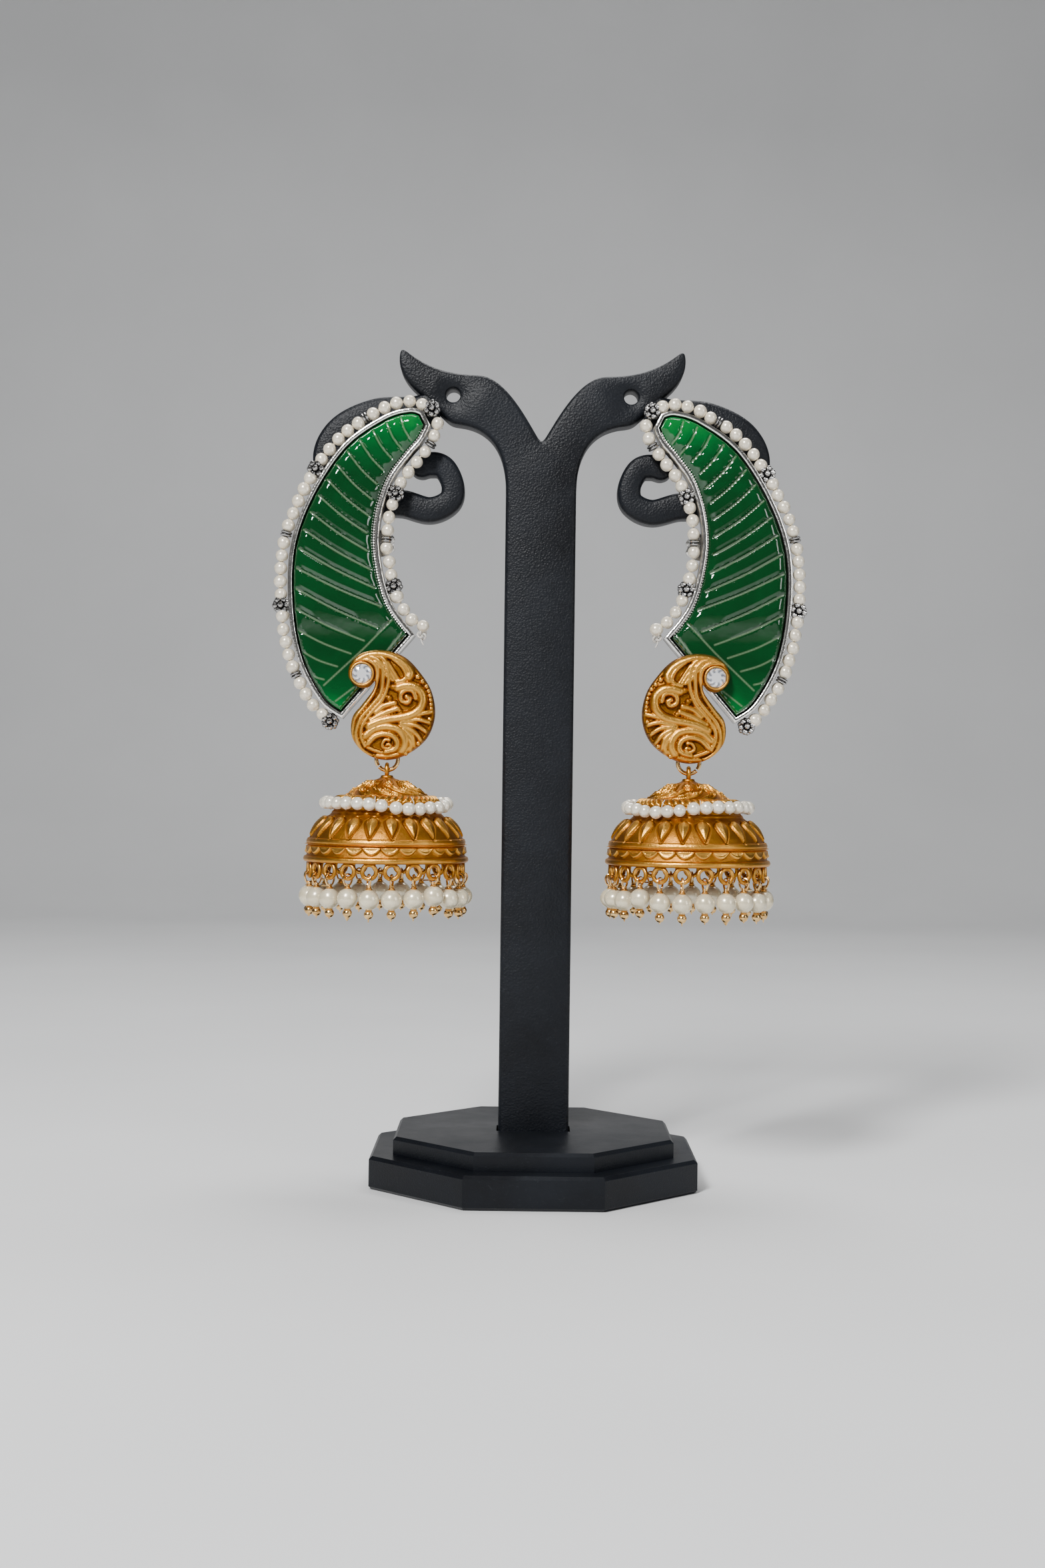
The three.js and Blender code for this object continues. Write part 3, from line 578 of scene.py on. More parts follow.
arm_black = black_plastic("grained_black_plastic", 0.00042, 0.5, 0.34, 0.52)
base_black = black_plastic("satin_black_plastic", 0.0003, 0.16, 0.27, 0.45)
gold = antique_gold()
wire_gold = bright_gold()
bezel_silver = silver_with_wear_and_shade("rubbed_silver", (0.09, 0.085, 0.08), (0.86, 0.84, 0.8))
rosette_silver = silver_with_wear_and_shade("oxidised_silver", (0.006, 0.006, 0.008), (0.5, 0.49, 0.48))
seed_pearl = cream_pearl("cream_seed_pearl", (0.74, 0.66, 0.51), (0.86, 0.79, 0.65), 0.8)
neck_pearl = cream_pearl("white_neck_pearl", (0.76, 0.7, 0.57), (0.88, 0.83, 0.71), 0.6)
drop_pearl = cream_pearl("cream_drop_pearl", (0.7, 0.61, 0.42), (0.82, 0.74, 0.54), 0.7)
emerald = carved_emerald()
diamond_clear = cut_diamond()
thread = twisted_thread()


# Stand

def curve(*handles, count=26):
    """A curve of two or three handles after its start, as the usual weighted sum of its points."""
    handles = np.asarray(handles, float)
    t = np.linspace(0, 1, count)[:, None]
    degree = len(handles) - 1
    return sum(math.comb(degree, k) * t**k * (1 - t) ** (degree - k) * p for k, p in enumerate(handles))


def stand_outline():
    """The fork, the shoulders, the tips, the undersides and the column, in one closed outline."""
    notch = NOTCH_Z
    flank = COLUMN_HALF
    half = np.vstack([
        curve((0, notch), (2.4, notch + 3.7), (6.2, notch + 11.8), (11.4, SHOULDER_Z)),
        curve((11.4, SHOULDER_Z), (20.7, SHOULDER_Z - 0.3), (26.5, SHOULDER_Z + 5.1))[1:],
        curve((26.5, SHOULDER_Z + 5.1), (28.2, SHOULDER_Z), (22.5, SHOULDER_Z - 4.1))[1:],
        curve((22.5, SHOULDER_Z - 4.1), (19.7, SHOULDER_Z - 6.7), (17, UNDERSIDE_Z))[1:],
        curve((17, UNDERSIDE_Z), (11.5, UNDERSIDE_Z), (flank, SPRING_Z + 10), (flank, SPRING_Z))[1:],
        curve((flank, SPRING_Z), (flank, 70), (flank, 6.4))[1:],
    ])
    whole = np.vstack([half, (half[1:] * (-1, 1))[::-1]])
    return evenly(whole[::-1], 700, True)


def softened(outline, reach):
    """A closed outline whose corners are rounded by a running mean over some of its points."""
    weights = np.hanning(2 * reach + 3)[1:-1]
    weights /= weights.sum()
    return sum(w * np.roll(outline, k - reach, 0) for k, w in enumerate(weights))


def rounded_plate(outline, radius, half, holes):
    """A plate with quarter-round edges, less round where its tips are thin, and with round holes
    along Y. Each flat is the triangulation of all the rims, less what lies within one hole's rim."""
    room = np.clip(away(shifted(outline, -radius), outline, True) / radius, 0.05, 1) ** 2
    tightest = np.min([np.roll(room, k) for k in range(-7, 8)], axis=0)
    share = softened(tightest[:, None], 7)
    full = shifted(outline, -radius) - outline
    angle = np.linspace(0, math.pi / 2, 5)
    rows = [(1 - math.sin(a), half - radius * (1 - math.cos(a))) for a in angle]
    rows += [(inwards, -depth) for inwards, depth in rows[::-1]]
    walls = [np.stack([in_depth(outline + inwards * share * full, depth) for inwards, depth in rows])]
    turn = -full_turn(40)
    circle = np.column_stack([np.cos(turn), np.sin(turn)])
    for x, z, diameter in holes:
        lips = [(diameter / 2 + 0.25, half), (diameter / 2, half - 0.25)]
        lips += [(r, -depth) for r, depth in lips[::-1]]
        walls.append(np.stack([in_depth(circle * r + (x, z), depth) for r, depth in lips]))
    groups, rims, edges = [], [], []
    first = corner = 0
    for wall in walls:
        size = wall.shape[1]
        index = first + np.arange(wall.shape[0] * size).reshape(-1, size)
        groups.append(between(index))
        rims.append((index[0], index[-1]))
        edges += [(corner + k, corner + (k + 1) % size) for k in range(size)]
        first += wall.shape[0] * size
        corner += size
    points = np.vstack([wall.reshape(-1, 3) for wall in walls])
    back, front = (np.concatenate(rim) for rim in zip(*rims))
    owner = np.repeat(np.arange(len(walls)), [wall.shape[1] for wall in walls])
    places = [Vector(p) for p in points[back][:, [0, 2]].tolist()]
    faces = np.array(delaunay_2d_cdt(places, edges, [], 1, 1e-7)[2])
    in_hole = (owner[faces] == owner[faces[:, :1]]).all(1) & (owner[faces[:, 0]] > 0)
    faces = faces[~in_hole]
    return facing_out(points, groups + [back[faces[:, ::-1]], front[faces]])


def horn_shape():
    """A band with rounded edges along the horn's middle line, from inside the arm to a round end.
    It starts beyond the arm's post hole."""
    rows = smooth_line(HORN, 220)
    rows = rows[np.argmax(rows[:, 0] * HORN_REACH > HORN_START) :]
    middle = np.column_stack([rows[:, 0] * HORN_REACH, HORN_FOOT + rows[:, 1] * HORN_RISE])
    half = rows[:, 2] * HORN_WIDTH / 2
    along = lengths(middle)
    left = along[-1] - along
    half = half * np.sqrt(np.clip(1 - (1 - np.minimum(left / 1.8, 1)) ** 2, 0.02, 1))
    forward = unit(np.gradient(middle, axis=0))
    across = np.column_stack([-forward[:, 1], forward[:, 0]])
    angle = full_turn(28)
    radius = 1.1
    corner_x = np.sign(np.round(np.cos(angle), 6)) * np.maximum(half[:, None] - radius, 0)
    corner_y = np.sign(np.round(np.sin(angle), 6)) * (ARM_DEPTH - 0.05 - radius)
    reach = np.minimum(radius, half[:, None])
    sideways = corner_x + reach * np.cos(angle)
    depth = corner_y + radius * np.sin(angle) + 0 * sideways
    rings = np.stack([
        middle[:, :1] + across[:, :1] * sideways,
        depth,
        middle[:, 1:] + across[:, 1:] * sideways,
    ], -1)
    return skin(rings, "flat")


post_holes = [ARM_HOLE, (-ARM_HOLE[0], *ARM_HOLE[1:])]
column = rounded_plate(softened(stand_outline(), 3), ARM_ROUNDING, ARM_DEPTH, post_holes)
piece("stand_column", [column], arm_black, "stand", 1, ["stand_arms"], 50)
for side, word in ((1, "right"), (-1, "left")):
    piece(word + "_horn", [horn_shape()], arm_black, "stand", side, sharp=60)
base_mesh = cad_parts["stand_base"].data
base_mesh.materials.clear()
base_mesh.materials.append(base_black)


# Crescent

def scaled(rows, box):
    rows = np.asarray(rows, float)
    return np.column_stack([box[0] + rows[:, 0] * box[2], box[1] + rows[:, 1] * box[3]])


outer_edge = evenly(scaled(smooth_line(CRESCENT_OUTER, 400), CRESCENT), 150)
inner_edge = evenly(scaled(smooth_line(CRESCENT_INNER, 300), CRESCENT), 90)
bottom_edge = evenly(np.vstack([inner_edge[-1], outer_edge[0]]), 40)[1:-1]
crescent = np.vstack([outer_edge, inner_edge, bottom_edge])
stone_edge = shifted(crescent, -STONE_INSET)


def crescent_setting():
    """The back plate and the wall round the stone, with the wall's top edges rounded. The wall's top is
    worn bright, and its inner foot beside the stone is painted nearly black as shadow.
    """
    f = BEZEL_FRONT
    rows = [(0.15, PLATE_BACK), (0, PLATE_BACK - 0.15), (0, f + 0.35), (0.1, f + 0.1), (0.28, f)]
    rows += [(0.62, f), (0.8, f + 0.1), (BEZEL_WIDTH, f + 0.35), (BEZEL_WIDTH, PLATE_FRONT)]
    # Painted shadow: the last row, the wall's inner foot at the plate beside the stone, is set to 0.05 so
    # that it shades nearly black; the top rows are wear
    worn = np.array([0.3, 0.3, 0.5, 0.85, 1.0, 1.0, 0.8, 0.3, 0.05])[:, None]
    return layered(crescent, rows, worn)


def milled_wire():
    """A thin wire inside the wall's inner edge, whose radius swells and shrinks every 0.5 mm."""
    route = evenly(shifted(crescent, -BEZEL_WIDTH - 0.1)[len(outer_edge) + 3 : -len(bottom_edge) - 3], 760)
    radius = 0.15 + 0.06 * np.cos(TURN * lengths(route) / 0.5)
    worn = np.clip(7 * (radius - 0.07), 0, 1)[:, None]
    return tube(in_depth(route, BEZEL_FRONT + 0.12), radius, 6, worn=worn)


def back_fittings():
    """The ear post with its clutch, behind the plate, and the pin that goes into the arm."""
    post = turned([(0.45, -3.3), (0.45, 5.6), (0.3, 5.9)], (POST[0], 0, POST[1]), (0, 1, 0), 14, 0.8)
    pin = turned([(0.5, -3.3), (0.5, 2.75)], (PIN[0], 0, PIN[1]), (0, 1, 0), 14, 0.8)
    angle = full_turn(40)
    scroll = 1 - 0.16 * np.cos(2 * angle) ** 8
    edge = np.column_stack([POST[0] + 4.5 * scroll * np.cos(angle), POST[1] + 2.7 * np.sin(angle)])
    rows = [(0.5, PLATE_BACK + 0.3), (0, PLATE_BACK + 0.7), (0, PLATE_BACK + 2), (0.5, PLATE_BACK + 2.5)]
    return [post, pin, layered(edge, rows, 0.8)]


def cut_lines():
    """The cuts across the stone. Each runs from a share of the outer edge down to the inner edge,
    steeper and closer at the top, sagging a little, and the last ones stop at the chevron. All
    start 0.5 mm from the stone's outer edge and most end 1.2 mm before its inner edge."""
    outer, inner = stone_edge[: len(outer_edge)][::-1], stone_edge[len(outer_edge) :]
    outer_long = lengths(outer)[-1]
    lines = [
        np.array([(27.2, 104.5), (32.6, 98.9), (39.8, 92.1)]),
        np.array([(25.6, 101.8), (28.3, 98.5)]),
        np.array([(34.1, 91.9), (37.6, 89.2)]),
    ]
    for k in range(17):
        start = at_length(outer, [outer_long * (0.05 + 0.0405 * k + 0.0006 * k * k)])[0]
        if k < 12:
            end = at_length(inner, [3.9 + 2.35 * k + 0.062 * k * k])[0]
        else:
            share = (k - 12) / 4
            end = np.array([29.6 + 9.8 * share, 102.7 - 9.6 * share])
        line = smooth_line([start, (start + end) / 2 + (0.35, -0.25), end], 40)
        stop = lengths(line)[-1] - (1.2 if 1 < k < 12 else 0.4)
        lines.append(at_length(line, np.linspace(0.5, max(stop, 1.0), 9)))
    return lines


def stone_front(points):
    """Depth of the stone: nearly flat bays that round over at the rim, each cut a round-bottomed
    groove, and low where the paisley lies over it. Wear marks the frosted cuts."""
    rim = away(points, stone_edge, True)
    cut = np.min([away(points, line) for line in cut_lines()], axis=0)
    crown = 1 - (1 - np.clip(rim / 1.7, 0, 1)) ** 2
    height = 0.25 + 0.95 * crown + 0.13 * rise(0.3, 1.3, cut) * crown
    height -= 0.34 * np.sqrt(np.clip(1 - (cut / 0.36) ** 2, 0, 1)) * crown
    room = 0.72 + 0.75 * rise(98.4, 109, points[:, 1])
    depth = STONE_FLOOR - np.minimum(height, room)
    return depth, np.clip(1 - cut / 0.4, 0, 1) * (rim > 0.25)


# Strung pearls

def bead_route(edge, before, after):
    """The crescent's edge moved out by the string's distance, with points before and after it."""
    moved = shifted(crescent, STRING_OUT, 0.8)
    if edge == "outer":
        route = moved[: len(outer_edge)][::-1]
    else:
        route = moved[len(outer_edge) :][: len(inner_edge)]
    route = np.vstack([before, route[4:-4], after])
    return smooth_line(route, 500)


# Rosettes R, rondelles o and pearls p in order, and the points before and after the crescent's edge
STRINGS = {
    "outer": ("RpppppopppppRpppppopppppRpppppoppppR", (20.5, 143.9), (38.7, 85.5)),
    "inner": ("ppoppppRpppopppRpppp", (19.3, 141.2), (21.7, 103.3)),
}
HALF_LENGTH = {"R": 0.8, "o": 0.4, "p": 1.2}


def bead_places(edge):
    """The kind of each bead and its place, by half lengths laid end to end along the route."""
    kinds, before, after = STRINGS[edge]
    route = bead_route(edge, before, after)
    halves = np.array([HALF_LENGTH[kind] for kind in kinds])
    places = np.cumsum(halves) + np.r_[0, np.cumsum(halves)[:-1]]
    places = (places - places[0]) * lengths(route)[-1] / (places[-1] - places[0])
    return kinds, at_length(route, places), at_length(route, places + 0.3) - at_length(route, places - 0.3)


def rosette(middle, turn):
    """Granules on a dark core: one in front, six round it, six between those behind, one at the back."""
    angle = np.arange(6) * TURN / 6 + turn
    front = np.column_stack([1.08 * np.cos(angle), np.full(6, -0.55), 1.08 * np.sin(angle)])
    behind = np.column_stack([1.12 * np.cos(angle + 0.52), np.full(6, 0.5), 1.12 * np.sin(angle + 0.52)])
    spots = np.vstack([[(0, -1.15, 0)], front, behind, [(0, 1.1, 0)]])
    core = balls([middle], 1.0, 6, 10)
    granules = balls(spots + middle, 0.56, 6, 8)
    worn = np.clip(1.9 * granules[2] - 0.9, 0, 1)
    return [(*granules[:2], worn), (*core[:2], np.zeros(len(core[0])))]


def rondelle(middle, along):
    """Two flat discs side by side on the thread."""
    half = [(0.35, 0.5), (1.0, 0.46), (1.12, 0.27), (1.0, 0.08)]
    profile = [(radius, -low) for radius, low in half] + [(0.75, 0)] + half[::-1]
    worn = np.array([0.1, 0.7, 1, 0.5, 0.05, 0.5, 1, 0.7, 0.1])[:, None]
    return turned(profile, middle, along, 20, worn)


def knot(middle):
    """A knot of thread: one line that goes twice round a small ring and winds three times over it."""
    t = full_turn(60)
    path = np.column_stack([
        (0.55 + 0.28 * np.cos(3 * t)) * np.cos(2 * t),
        0.4 * np.sin(3 * t),
        (0.6 + 0.28 * np.cos(3 * t)) * np.sin(2 * t),
    ])
    return tube(path + middle, 0.2, 6, (0.2, 1, 0.1), closed=True)


def strung_pearls(word, side):
    """Both strings: pearls of uneven size a little out of line, silver beads, thread and its knot."""
    chance = np.random.default_rng(11 + side)
    pearls, silver, threads = [], [], []
    for edge in STRINGS:
        kinds, places, along = bead_places(edge)
        centres = in_depth(places, STRING_DEPTH)
        along = in_depth(along, 0)
        threads.append(tube(centres, 0.16, 6, worn=0.5))
        round_ones = np.array([kind == "p" for kind in kinds])
        nudged = centres[round_ones] + chance.normal(0, 0.06, (round_ones.sum(), 3))
        sizes = SEED_PEARL / 2 * chance.normal(1, 0.025, round_ones.sum())
        pearls.append(balls(nudged, sizes, 11, 16, 0.02, seed=5 + side))
        for kind, centre, way in zip(kinds, centres, along):
            if kind == "R":
                silver += rosette(centre, chance.uniform(0, 1))
            if kind == "o":
                silver.append(rondelle(centre, way))
    end = centres[-1] + (0.1, 0, -1.5)
    threads.append(knot(end))
    threads.append(tube(curve(end, end + (0.5, -0.4, -0.9), end + (-0.3, -0.5, -1.9), count=12), 0.13, 6))
    piece(word + "_seed_pearls", pearls, seed_pearl, "stand", side, [word + "_pearl_string"])
    piece(word + "_rosettes", silver, rosette_silver, "stand", side)
    piece(word + "_string_thread", threads, thread, "stand", side)


# Paisley, whose relief lines are in millimetres from the inner edge and from the foot

RELIEF_LINES = [
    # half width, height, points
    (0.5, 0.7, [
        (14.9, 17.7), (12.9, 18.5), (11.2, 17.7), (10.6, 16.2), (10.9, 14.4), (11.5, 12.3), (13.2, 9.8),
        (14.9, 7.5), (15.3, 5.2), (14.8, 2.6), (12.9, 0.7),
    ]),
    (0.48, 0.78, [
        (15.1, 18.3), (12.7, 19.1), (10.6, 18.5), (9.7, 16.9), (9.7, 14.4), (10.1, 12.0), (11.7, 9.9),
        (13.5, 7.8), (14.4, 5.8), (14.4, 4.0), (13.5, 1.9), (11.7, 0.6),
    ]),
    (0.45, 0.72, [
        (14.2, 18.9), (11.2, 19.4), (9.3, 18.4), (8.6, 16.3), (8.7, 13.8), (9.7, 11.1), (11.2, 9.3),
        (12.4, 7.8), (13.4, 6.1), (13.5, 4.3), (12.7, 2.5),
    ]),
    (0.75, 0.95, [
        (14.8, 18.4), (12.4, 19.6), (9.7, 19.7), (7.2, 18.9), (5.4, 17.7), (4.5, 16.2), (4.8, 15.3),
    ]),
    (0.5, 0.8, [(7.7, 18.7), (6.0, 17.2), (5.3, 15.6), (5.9, 14.7), (7.1, 14.4)]),
    (0.5, 0.9, [
        (5.2, 11.7), (4.6, 11.3), (5.1, 10.6), (6.1, 11.0), (6.3, 12.1), (5.4, 12.9), (4.0, 12.7),
        (3.5, 11.4),
    ]),
    (0.85, 1.05, [
        (6.8, 13.3), (5.3, 13.7), (3.7, 13.5), (2.5, 12.5), (2.2, 11.1), (2.7, 9.6), (4.0, 8.5),
        (5.9, 7.9), (8.3, 7.5), (10.3, 7.0), (12.0, 6.2),
    ]),
    (0.55, 0.75, [(10.8, 8.7), (9.4, 9.9), (7.4, 10.5)]),
    (0.6, 0.8, [(11.7, 7.2), (9.7, 8.4), (6.9, 9.5)]),
    (0.8, 0.95, [(12.7, 4.3), (11.2, 5.6), (9.0, 6.1), (6.8, 5.7), (5.6, 4.4), (5.4, 2.8), (6.0, 1.5)]),
    (0.6, 0.85, [(12.3, 2.9), (10.9, 4.3), (9.0, 4.8), (7.4, 4.3), (6.8, 3.0), (7.4, 1.9), (8.9, 1.4)]),
    (0.36, 0.8, [
        (8.7, 2.8), (8.3, 2.9), (8.0, 2.6), (8.4, 2.1), (9.3, 2.3), (9.6, 2.9), (9.1, 3.7), (8.3, 3.7),
    ]),
    (0.4, 0.55, [(12.3, 2.3), (11.2, 1.8), (9.7, 1.3)]),
    (0.5, 0.8, [(6.0, 7.2), (3.1, 8.4), (0.5, 9.0)]),
    (0.5, 0.8, [(6.0, 7.0), (3.1, 7.5), (1.0, 7.0)]),
    (0.5, 0.8, [(6.2, 6.7), (3.4, 6.4), (1.6, 5.3)]),
    (0.5, 0.8, [(6.0, 6.4), (3.8, 5.3), (2.5, 3.7)]),
    (0.5, 0.8, [(5.6, 5.8), (4.1, 4.3), (3.7, 2.6)]),
    (0.5, 0.75, [(5.0, 4.6), (4.2, 3.1), (4.5, 1.6)]),
    (0.5, 0.7, [(10.6, 0.6), (8.3, 0.6), (6.0, 1.2), (4.4, 2.3)]),
]
PAISLEY_BEADS = [(7.74, 13.4, 0.6), (8.4, 11.4, 0.58), (6.4, 9.0, 0.5)]
EDGE_BEADS = [
    # from the inner edge, from the foot, radius
    (3.3, 15.4, 0.56), (2.4, 14.5, 0.5), (1.65, 13.6, 0.46), (1.25, 12.75, 0.44), (1.0, 11.95, 0.42),
    (0.85, 11.15, 0.42), (0.75, 10.35, 0.42), (0.7, 9.6, 0.42), (0.95, 7.6, 0.5), (1.6, 5.4, 0.52),
    (3.0, 3.1, 0.52), (5.3, 1.3, 0.5), (8.9, 0.45, 0.36),
]


def paisley_lines():
    """The drawn lines, and four flutes that part from the top leaf towards its round end."""
    lines = [(half, height, smooth_line(points, 6 * len(points))) for half, height, points in RELIEF_LINES]
    for k in range(4):
        start = (12.2 - 1.15 * k, 18.2 - 0.05 * k)
        middle = (9.9 - 0.7 * k, 16.9 - 0.1 * k)
        end = (8.5 - 0.7 * k, 14.9 - 0.2 * k)
        lines.append((0.36, 0.66, smooth_line([start, middle, end], 12)))
    return lines


def ridge(distance, half):
    """A round-topped ridge: the circle's height at this share of its half width."""
    return np.sqrt(np.clip(1 - (distance / (1.15 * half)) ** 2, 0, 1))


paisley_edge = evenly(scaled(smooth_line(PAISLEY_EDGE, 700, True), PAISLEY), 260, True)


def paisley_front(points):
    """A dome that rounds over at the rim, under broad bands, beads and a raised rim band. Where two
    bands overlap, the higher one counts, so that a crease runs between them."""
    rim = away(points, paisley_edge, True)
    dome = 1.1 * np.sqrt(np.clip(1 - (1 - np.clip(rim / 2.6, 0, 1)) ** 2, 0, 1))
    local = points - np.array(PAISLEY[:2])
    lift = np.zeros(len(points))
    crest = np.zeros(len(points))
    for half, height, line in paisley_lines():
        share = ridge(away(local, line), half)
        crest = np.where(height * share > lift, share, crest)
        lift = np.maximum(lift, height * share)
    for x, z, radius in PAISLEY_BEADS:
        lift = np.maximum(lift, 1.3 * radius * ridge(np.hypot(local[:, 0] - x, local[:, 1] - z), radius))
    lift = np.maximum(lift, 0.4 * ridge(rim - 0.3, 0.3))
    centre = np.hypot(points[:, 0] - DIAMOND[0], points[:, 1] - DIAMOND[1])
    lift = lift * rise(2.1, 2.4, centre)
    lift = np.maximum(lift, 0.5 * ridge(centre - 2.7, 0.3))
    return PAISLEY_FRONT + 0.4 - dome - lift, np.clip(0.22 + 0.6 * crest**3 + 0.15 * lift, 0, 1)


def paisley_beads():
    """Granules along the inner edge, close together at the top and spaced out lower down."""
    rows = np.array(EDGE_BEADS)
    spots = in_depth(rows[:, :2] + PAISLEY[:2], PAISLEY_FRONT - 0.5)
    return balls(spots, rows[:, 2], 7, 10)


def diamond_setting():
    """A round collet with a thin rolled edge, and a brilliant: girdle, crown, star facets and table.
    Its per-point value alternates round its rings, so that every other facet takes the lighter tone, as
    painted reflections."""
    centre = (DIAMOND[0], PAISLEY_FRONT, DIAMOND[1])
    profile = [(2.0, 0.2), (2.3, 0.3), (2.28, 1.1), (2.2, 1.34)]
    profile += [(2.06, 1.4), (1.92, 1.34), (1.86, 1.1), (1.85, 0.6)]
    worn = np.array([0.3, 0.4, 0.75, 1, 1, 0.9, 0.5, 0.1])[:, None]
    collet = turned(profile, centre, (0, -1, 0), 40, worn)
    angle = full_turn(16)
    turn = np.cos(8 * angle)
    radii = [0.3 + 0 * angle, 1.84 + 0 * angle, 1.84 + 0 * angle, 1.36 + 0.1 * turn, 0.95 - 0.07 * turn]
    levels = [0.3, 0.98, 1.04, 1.34, 1.5]
    rings = [
        np.column_stack([radius * np.cos(angle), -level + 0 * angle, radius * np.sin(angle)]) + centre
        for radius, level in zip(radii, levels)
    ]
    # Painted reflections: every other facet gets a higher value and so a lighter colour in the diamond's
    # finish
    worn = 0.5 + 0.5 * np.array([0, 0, -0.6, 1, 0.8])[:, None] * turn
    return collet, skin(np.stack(rings), "flat", worn)


def link():
    """An open ring of round wire, its gap at the lower outer side."""
    angle = math.radians(-40) + np.linspace(0.07, TURN - 0.07, 60)
    ring = np.column_stack([LINK_RADIUS * np.cos(angle), 0 * angle, LINK_RADIUS * np.sin(angle)])
    return tube(ring + (HANG_REACH, HANG_DEPTH, LINK_Z), 0.39, 12, (0, 1, 0))


# Bell

# Half sections of (radius, height over the rim), outside and inside
BELL_CROWN = [
    (0.7, 16.0), (1.1, 15.9), (1.2, 15.6), (1.6, 15.35), (2.4, 15.05), (4.3, 13.95), (6.4, 12.7),
    (7.6, 12.1), (8.6, 11.75), (9.4, 11.2), (9.75, 10.7),
]
BELL_SKIRT = [
    (9.6, 10.9), (9.75, 10.6), (9.8, 10.2), (9.8, 9.4), (10.5, 8.6), (11.7, 7.7), (12.7, 6.75), (13.5, 5.7),
    (14.05, 4.7), (14.35, 3.9), (14.3, 2.9), (14.35, 2.2), (14.6, 1.4), (14.85, 0.8), (14.94, 0.0),
]
CROWN_LINING = [(8.7, 10.65), (0.5, 10.65)]
SKIRT_LINING = [
    (14.0, 0.05), (13.1, 3.4), (12.4, 5.2), (10.6, 7.1), (8.7, 8.9), (8.6, 9.6), (7.6, 10.3), (4, 10.5),
    (0.5, 10.5),
]


def teardrops(turn, radius, low):
    """Raised drops in grooves, one for each eyelet, round above and pointed below. The half width
    grows with the share of the height and closes over as the root of one less its fifth power."""
    step = TURN / DROPS
    aside = np.abs(turn % step - step / 2) * radius
    share = (low - 4.5) / 3.65
    inside = np.clip(share, 0, 1)
    apart = 1.74 * inside**0.9 * np.sqrt(np.clip(1 - inside**5, 0, 1)) - aside
    dome = 0.3 * rise(0, 0.25, apart) + 0.3 * rise(0.1, 1.2, apart)
    groove = -0.2 * rise(-0.42, -0.12, apart) * (share > -0.1) * (share < 1.1)
    return np.where(apart > 0, dome - 0.2 * (1 - rise(0, 0.12, apart)), groove)


def scallops(turn, low):
    """A raised lappet whose lower edge hangs in round loops with cusps between them."""
    step = TURN / LAPPETS
    share = np.abs(turn % step - step / 2) / (step / 2)
    above = low - 1.42 - 1.25 * share**2.2
    lappet = 0.46 * rise(-0.04, 0.2, above) + 0.08 * ridge(above - 0.35, 0.26)
    return lappet * (1 - 0.7 * rise(2.85, 3.0, low) * (1 - rise(3.1, 3.3, low))) * (low < 3.3)


def cap_chasing(turn, radius):
    """Swirling leaves round the crown: waves and curls sheared by the radius, buds, rays and pits."""
    swirl = turn + 0.22 * np.sin(0.9 * radius) + 0.12 * (radius - 5)
    step = TURN / LEAVES
    share = np.abs((swirl + step / 2) % step - step / 2) / (step / 2)
    wave = radius - 4.9 - 1.5 * np.cos(math.pi * share)
    curl = np.hypot(share * step / 2 * radius - 0.1, radius - 6.6)
    bud = np.hypot((1 - share) * step / 2 * radius, radius - 3.7)
    lines = 0.4 * ridge(wave, 0.36) + 0.24 * ridge(np.abs(wave) - 0.72, 0.2)
    lines += 0.34 * ridge(curl - 0.85, 0.26) + 0.36 * ridge(bud, 0.42) + 0.2 * ridge(bud - 0.7, 0.16)
    rays = 0.18 * ridge((share - 0.5) * step / 2 * radius, 0.2)
    pits = -0.45 * ridge(curl, 0.5)
    return (lines + rays + pits) * rise(2.2, 2.8, radius) * (1 - rise(7.7, 8.0, radius))


def crown_relief(turn, radius, low):
    """Chasing on the slope, then a rope of forty-six slanting strands round its edge."""
    strand = np.abs(np.sin(23 * turn + 2.1 * (low - 11.5))) ** 0.7
    rope = ridge(low - 11.45, 0.5) * (0.15 + 0.5 * strand) * (radius > 8.0)
    return cap_chasing(turn, radius) + rope


def skirt_relief(turn, radius, low):
    """Teardrops, a plain band under them, a lappet, and a plain band at the rim."""
    bands = 0.36 * ridge(low - 3.74, 0.52) + 0.38 * ridge(low - 0.54, 0.44) - 0.07 * ridge(low - 3.95, 0.08)
    bands += 0.12 * ridge(low - 9.15, 0.2) * (radius < 10.6)
    bands += scallops(turn, low)
    return teardrops(turn, radius, low) * (radius > 10.3) + bands * (radius > 9.6)


def chased(profile, count, lining, relief_at):
    """An outside profile turned round, each point moved along the profile's normal by the relief
    there, and then the lining's rows without any."""
    outside = evenly(smooth_line(profile, 500), count)
    way = unit(np.gradient(outside, axis=0))
    turn = full_turn(BELL_COLUMNS)[None]
    radius, low = outside[:, :1] + 0 * turn, outside[:, 1:] + 0 * turn
    relief = relief_at(turn, radius, low)
    rows = smooth_line(lining, 4 * len(lining) - 3)
    out = np.vstack([radius - way[:, 1:] * relief, rows[:, :1] + 0 * turn])
    up = np.vstack([low + way[:, :1] * relief, rows[:, 1:] + 0 * turn])
    worn = np.vstack([np.clip(0.42 + 1.1 * relief, 0, 1), np.full((len(rows), BELL_COLUMNS), 0.3)])
    return skin(around(turn, out, 0, RIM_Z + up), "tips", worn)


def around(turn, distance, aside, height):
    """A point of the bell at an angle from its front, a distance, a step aside and a height."""
    x = HANG_REACH + distance * np.sin(turn) + aside * np.cos(turn)
    y = HANG_DEPTH - distance * np.cos(turn) + aside * np.sin(turn)
    return np.stack(np.broadcast_arrays(x, y, height), -1)


